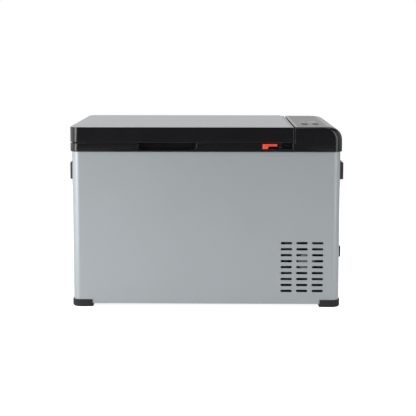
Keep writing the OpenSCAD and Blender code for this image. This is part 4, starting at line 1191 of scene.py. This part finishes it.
class COOLER_OT_studio(bpy.types.Operator):
    """Makes the pale floor, the even surroundings, the soft lamps and the camera."""

    bl_idname = "cooler.studio"
    bl_label = "Studio"

    def execute(self, context):
        scene = context.scene
        studio = scene.cooler_studio
        scene.view_settings.view_transform = "Standard"
        self.floor(scene, studio.floor_radius)
        self.surroundings(scene, studio.fill)
        for name, facts in LAMPS.items():
            softbox(name, *facts)
        self.camera(scene, studio)
        return {"FINISHED"}

    def floor(self, scene, radius, sides=96):
        """Round level floor: radius * (cos a, sin a)."""
        angle = np.arange(sides) * TURN / sides
        rim = radius * np.stack([np.cos(angle), np.sin(angle), 0 * angle], -1)
        mesh = bpy.data.meshes.new("floor")
        mesh.from_pydata(rim, [], [range(sides)])
        mesh.materials.append(floor_finish())
        floor = bpy.data.objects.new("floor", mesh)
        scene.collection.objects.link(floor)

    def surroundings(self, scene, fill):
        """White to the eye, and dim in the light that they cast."""
        world = bpy.data.worlds.new("surroundings")
        scene.world = world
        world.use_nodes = True
        tree = world.node_tree
        back = tree.nodes["Background"]
        back.inputs["Color"].default_value = WHITE
        seen = tree.nodes.new("ShaderNodeMix")
        seen.inputs["A"].default_value = fill
        seen.inputs["B"].default_value = 1.0
        looked = tree.nodes.new("ShaderNodeLightPath").outputs["Is Camera Ray"]
        tree.links.new(looked, seen.inputs["Factor"])
        tree.links.new(seen.outputs[0], back.inputs["Strength"])

    def camera(self, scene, studio):
        """The camera, looking down and a little to the left."""
        lens = bpy.data.cameras.new("camera")
        lens.lens, lens.sensor_width = studio.lens, 36.0
        lens.shift_x, lens.shift_y = CAMERA_SHIFT
        camera = bpy.data.objects.new("camera", lens)
        camera.location = CAMERA_PLACE
        camera.rotation_euler = (math.pi / 2 - studio.pitch, 0, studio.yaw)
        scene.collection.objects.link(camera)
        scene.camera = camera


# ------------------------------------------------------------------- panel

STEPS = (
    COOLER_OT_casing, COOLER_OT_band, COOLER_OT_lid, COOLER_OT_controls, COOLER_OT_latch,
    COOLER_OT_machinery, COOLER_OT_fittings, COOLER_OT_tub, COOLER_OT_studio,
)


class COOLER_PT_sidebar(bpy.types.Panel):
    """Lists the cooler's sizes, colours and building steps."""

    bl_label = "Compressor Cooler"
    bl_idname = "COOLER_PT_sidebar"
    bl_space_type = "VIEW_3D"
    bl_region_type = "UI"
    bl_category = "Cooler"

    def draw(self, context):
        for group in ("cooler_sizes", "cooler_looks", "cooler_studio"):
            settings = getattr(context.scene, group)
            column = self.layout.column(align=True)
            for name in settings.__annotations__:
                column.prop(settings, name)
        for step in STEPS:
            self.layout.operator(step.bl_idname)


GROUP_TYPES = {
    "cooler_sizes": CoolerSizes,
    "cooler_looks": CoolerLooks,
    "cooler_studio": CoolerStudio,
}


def register():
    """Registers the classes and hangs the settings on the scene."""
    for kind in (*GROUP_TYPES.values(), *STEPS, COOLER_PT_sidebar):
        bpy.utils.register_class(kind)
    for name, kind in GROUP_TYPES.items():
        setattr(bpy.types.Scene, name, bpy.props.PointerProperty(type=kind))


def unregister():
    """Takes the settings and the classes away again."""
    for name in GROUP_TYPES:
        delattr(bpy.types.Scene, name)
    for kind in reversed((*GROUP_TYPES.values(), *STEPS, COOLER_PT_sidebar)):
        bpy.utils.unregister_class(kind)


def main():
    """Builds every piece in order."""
    register()
    for step in STEPS:
        group, name = step.bl_idname.split(".")
        getattr(getattr(bpy.ops, group), name)()


if __name__ == "__main__":
    main()
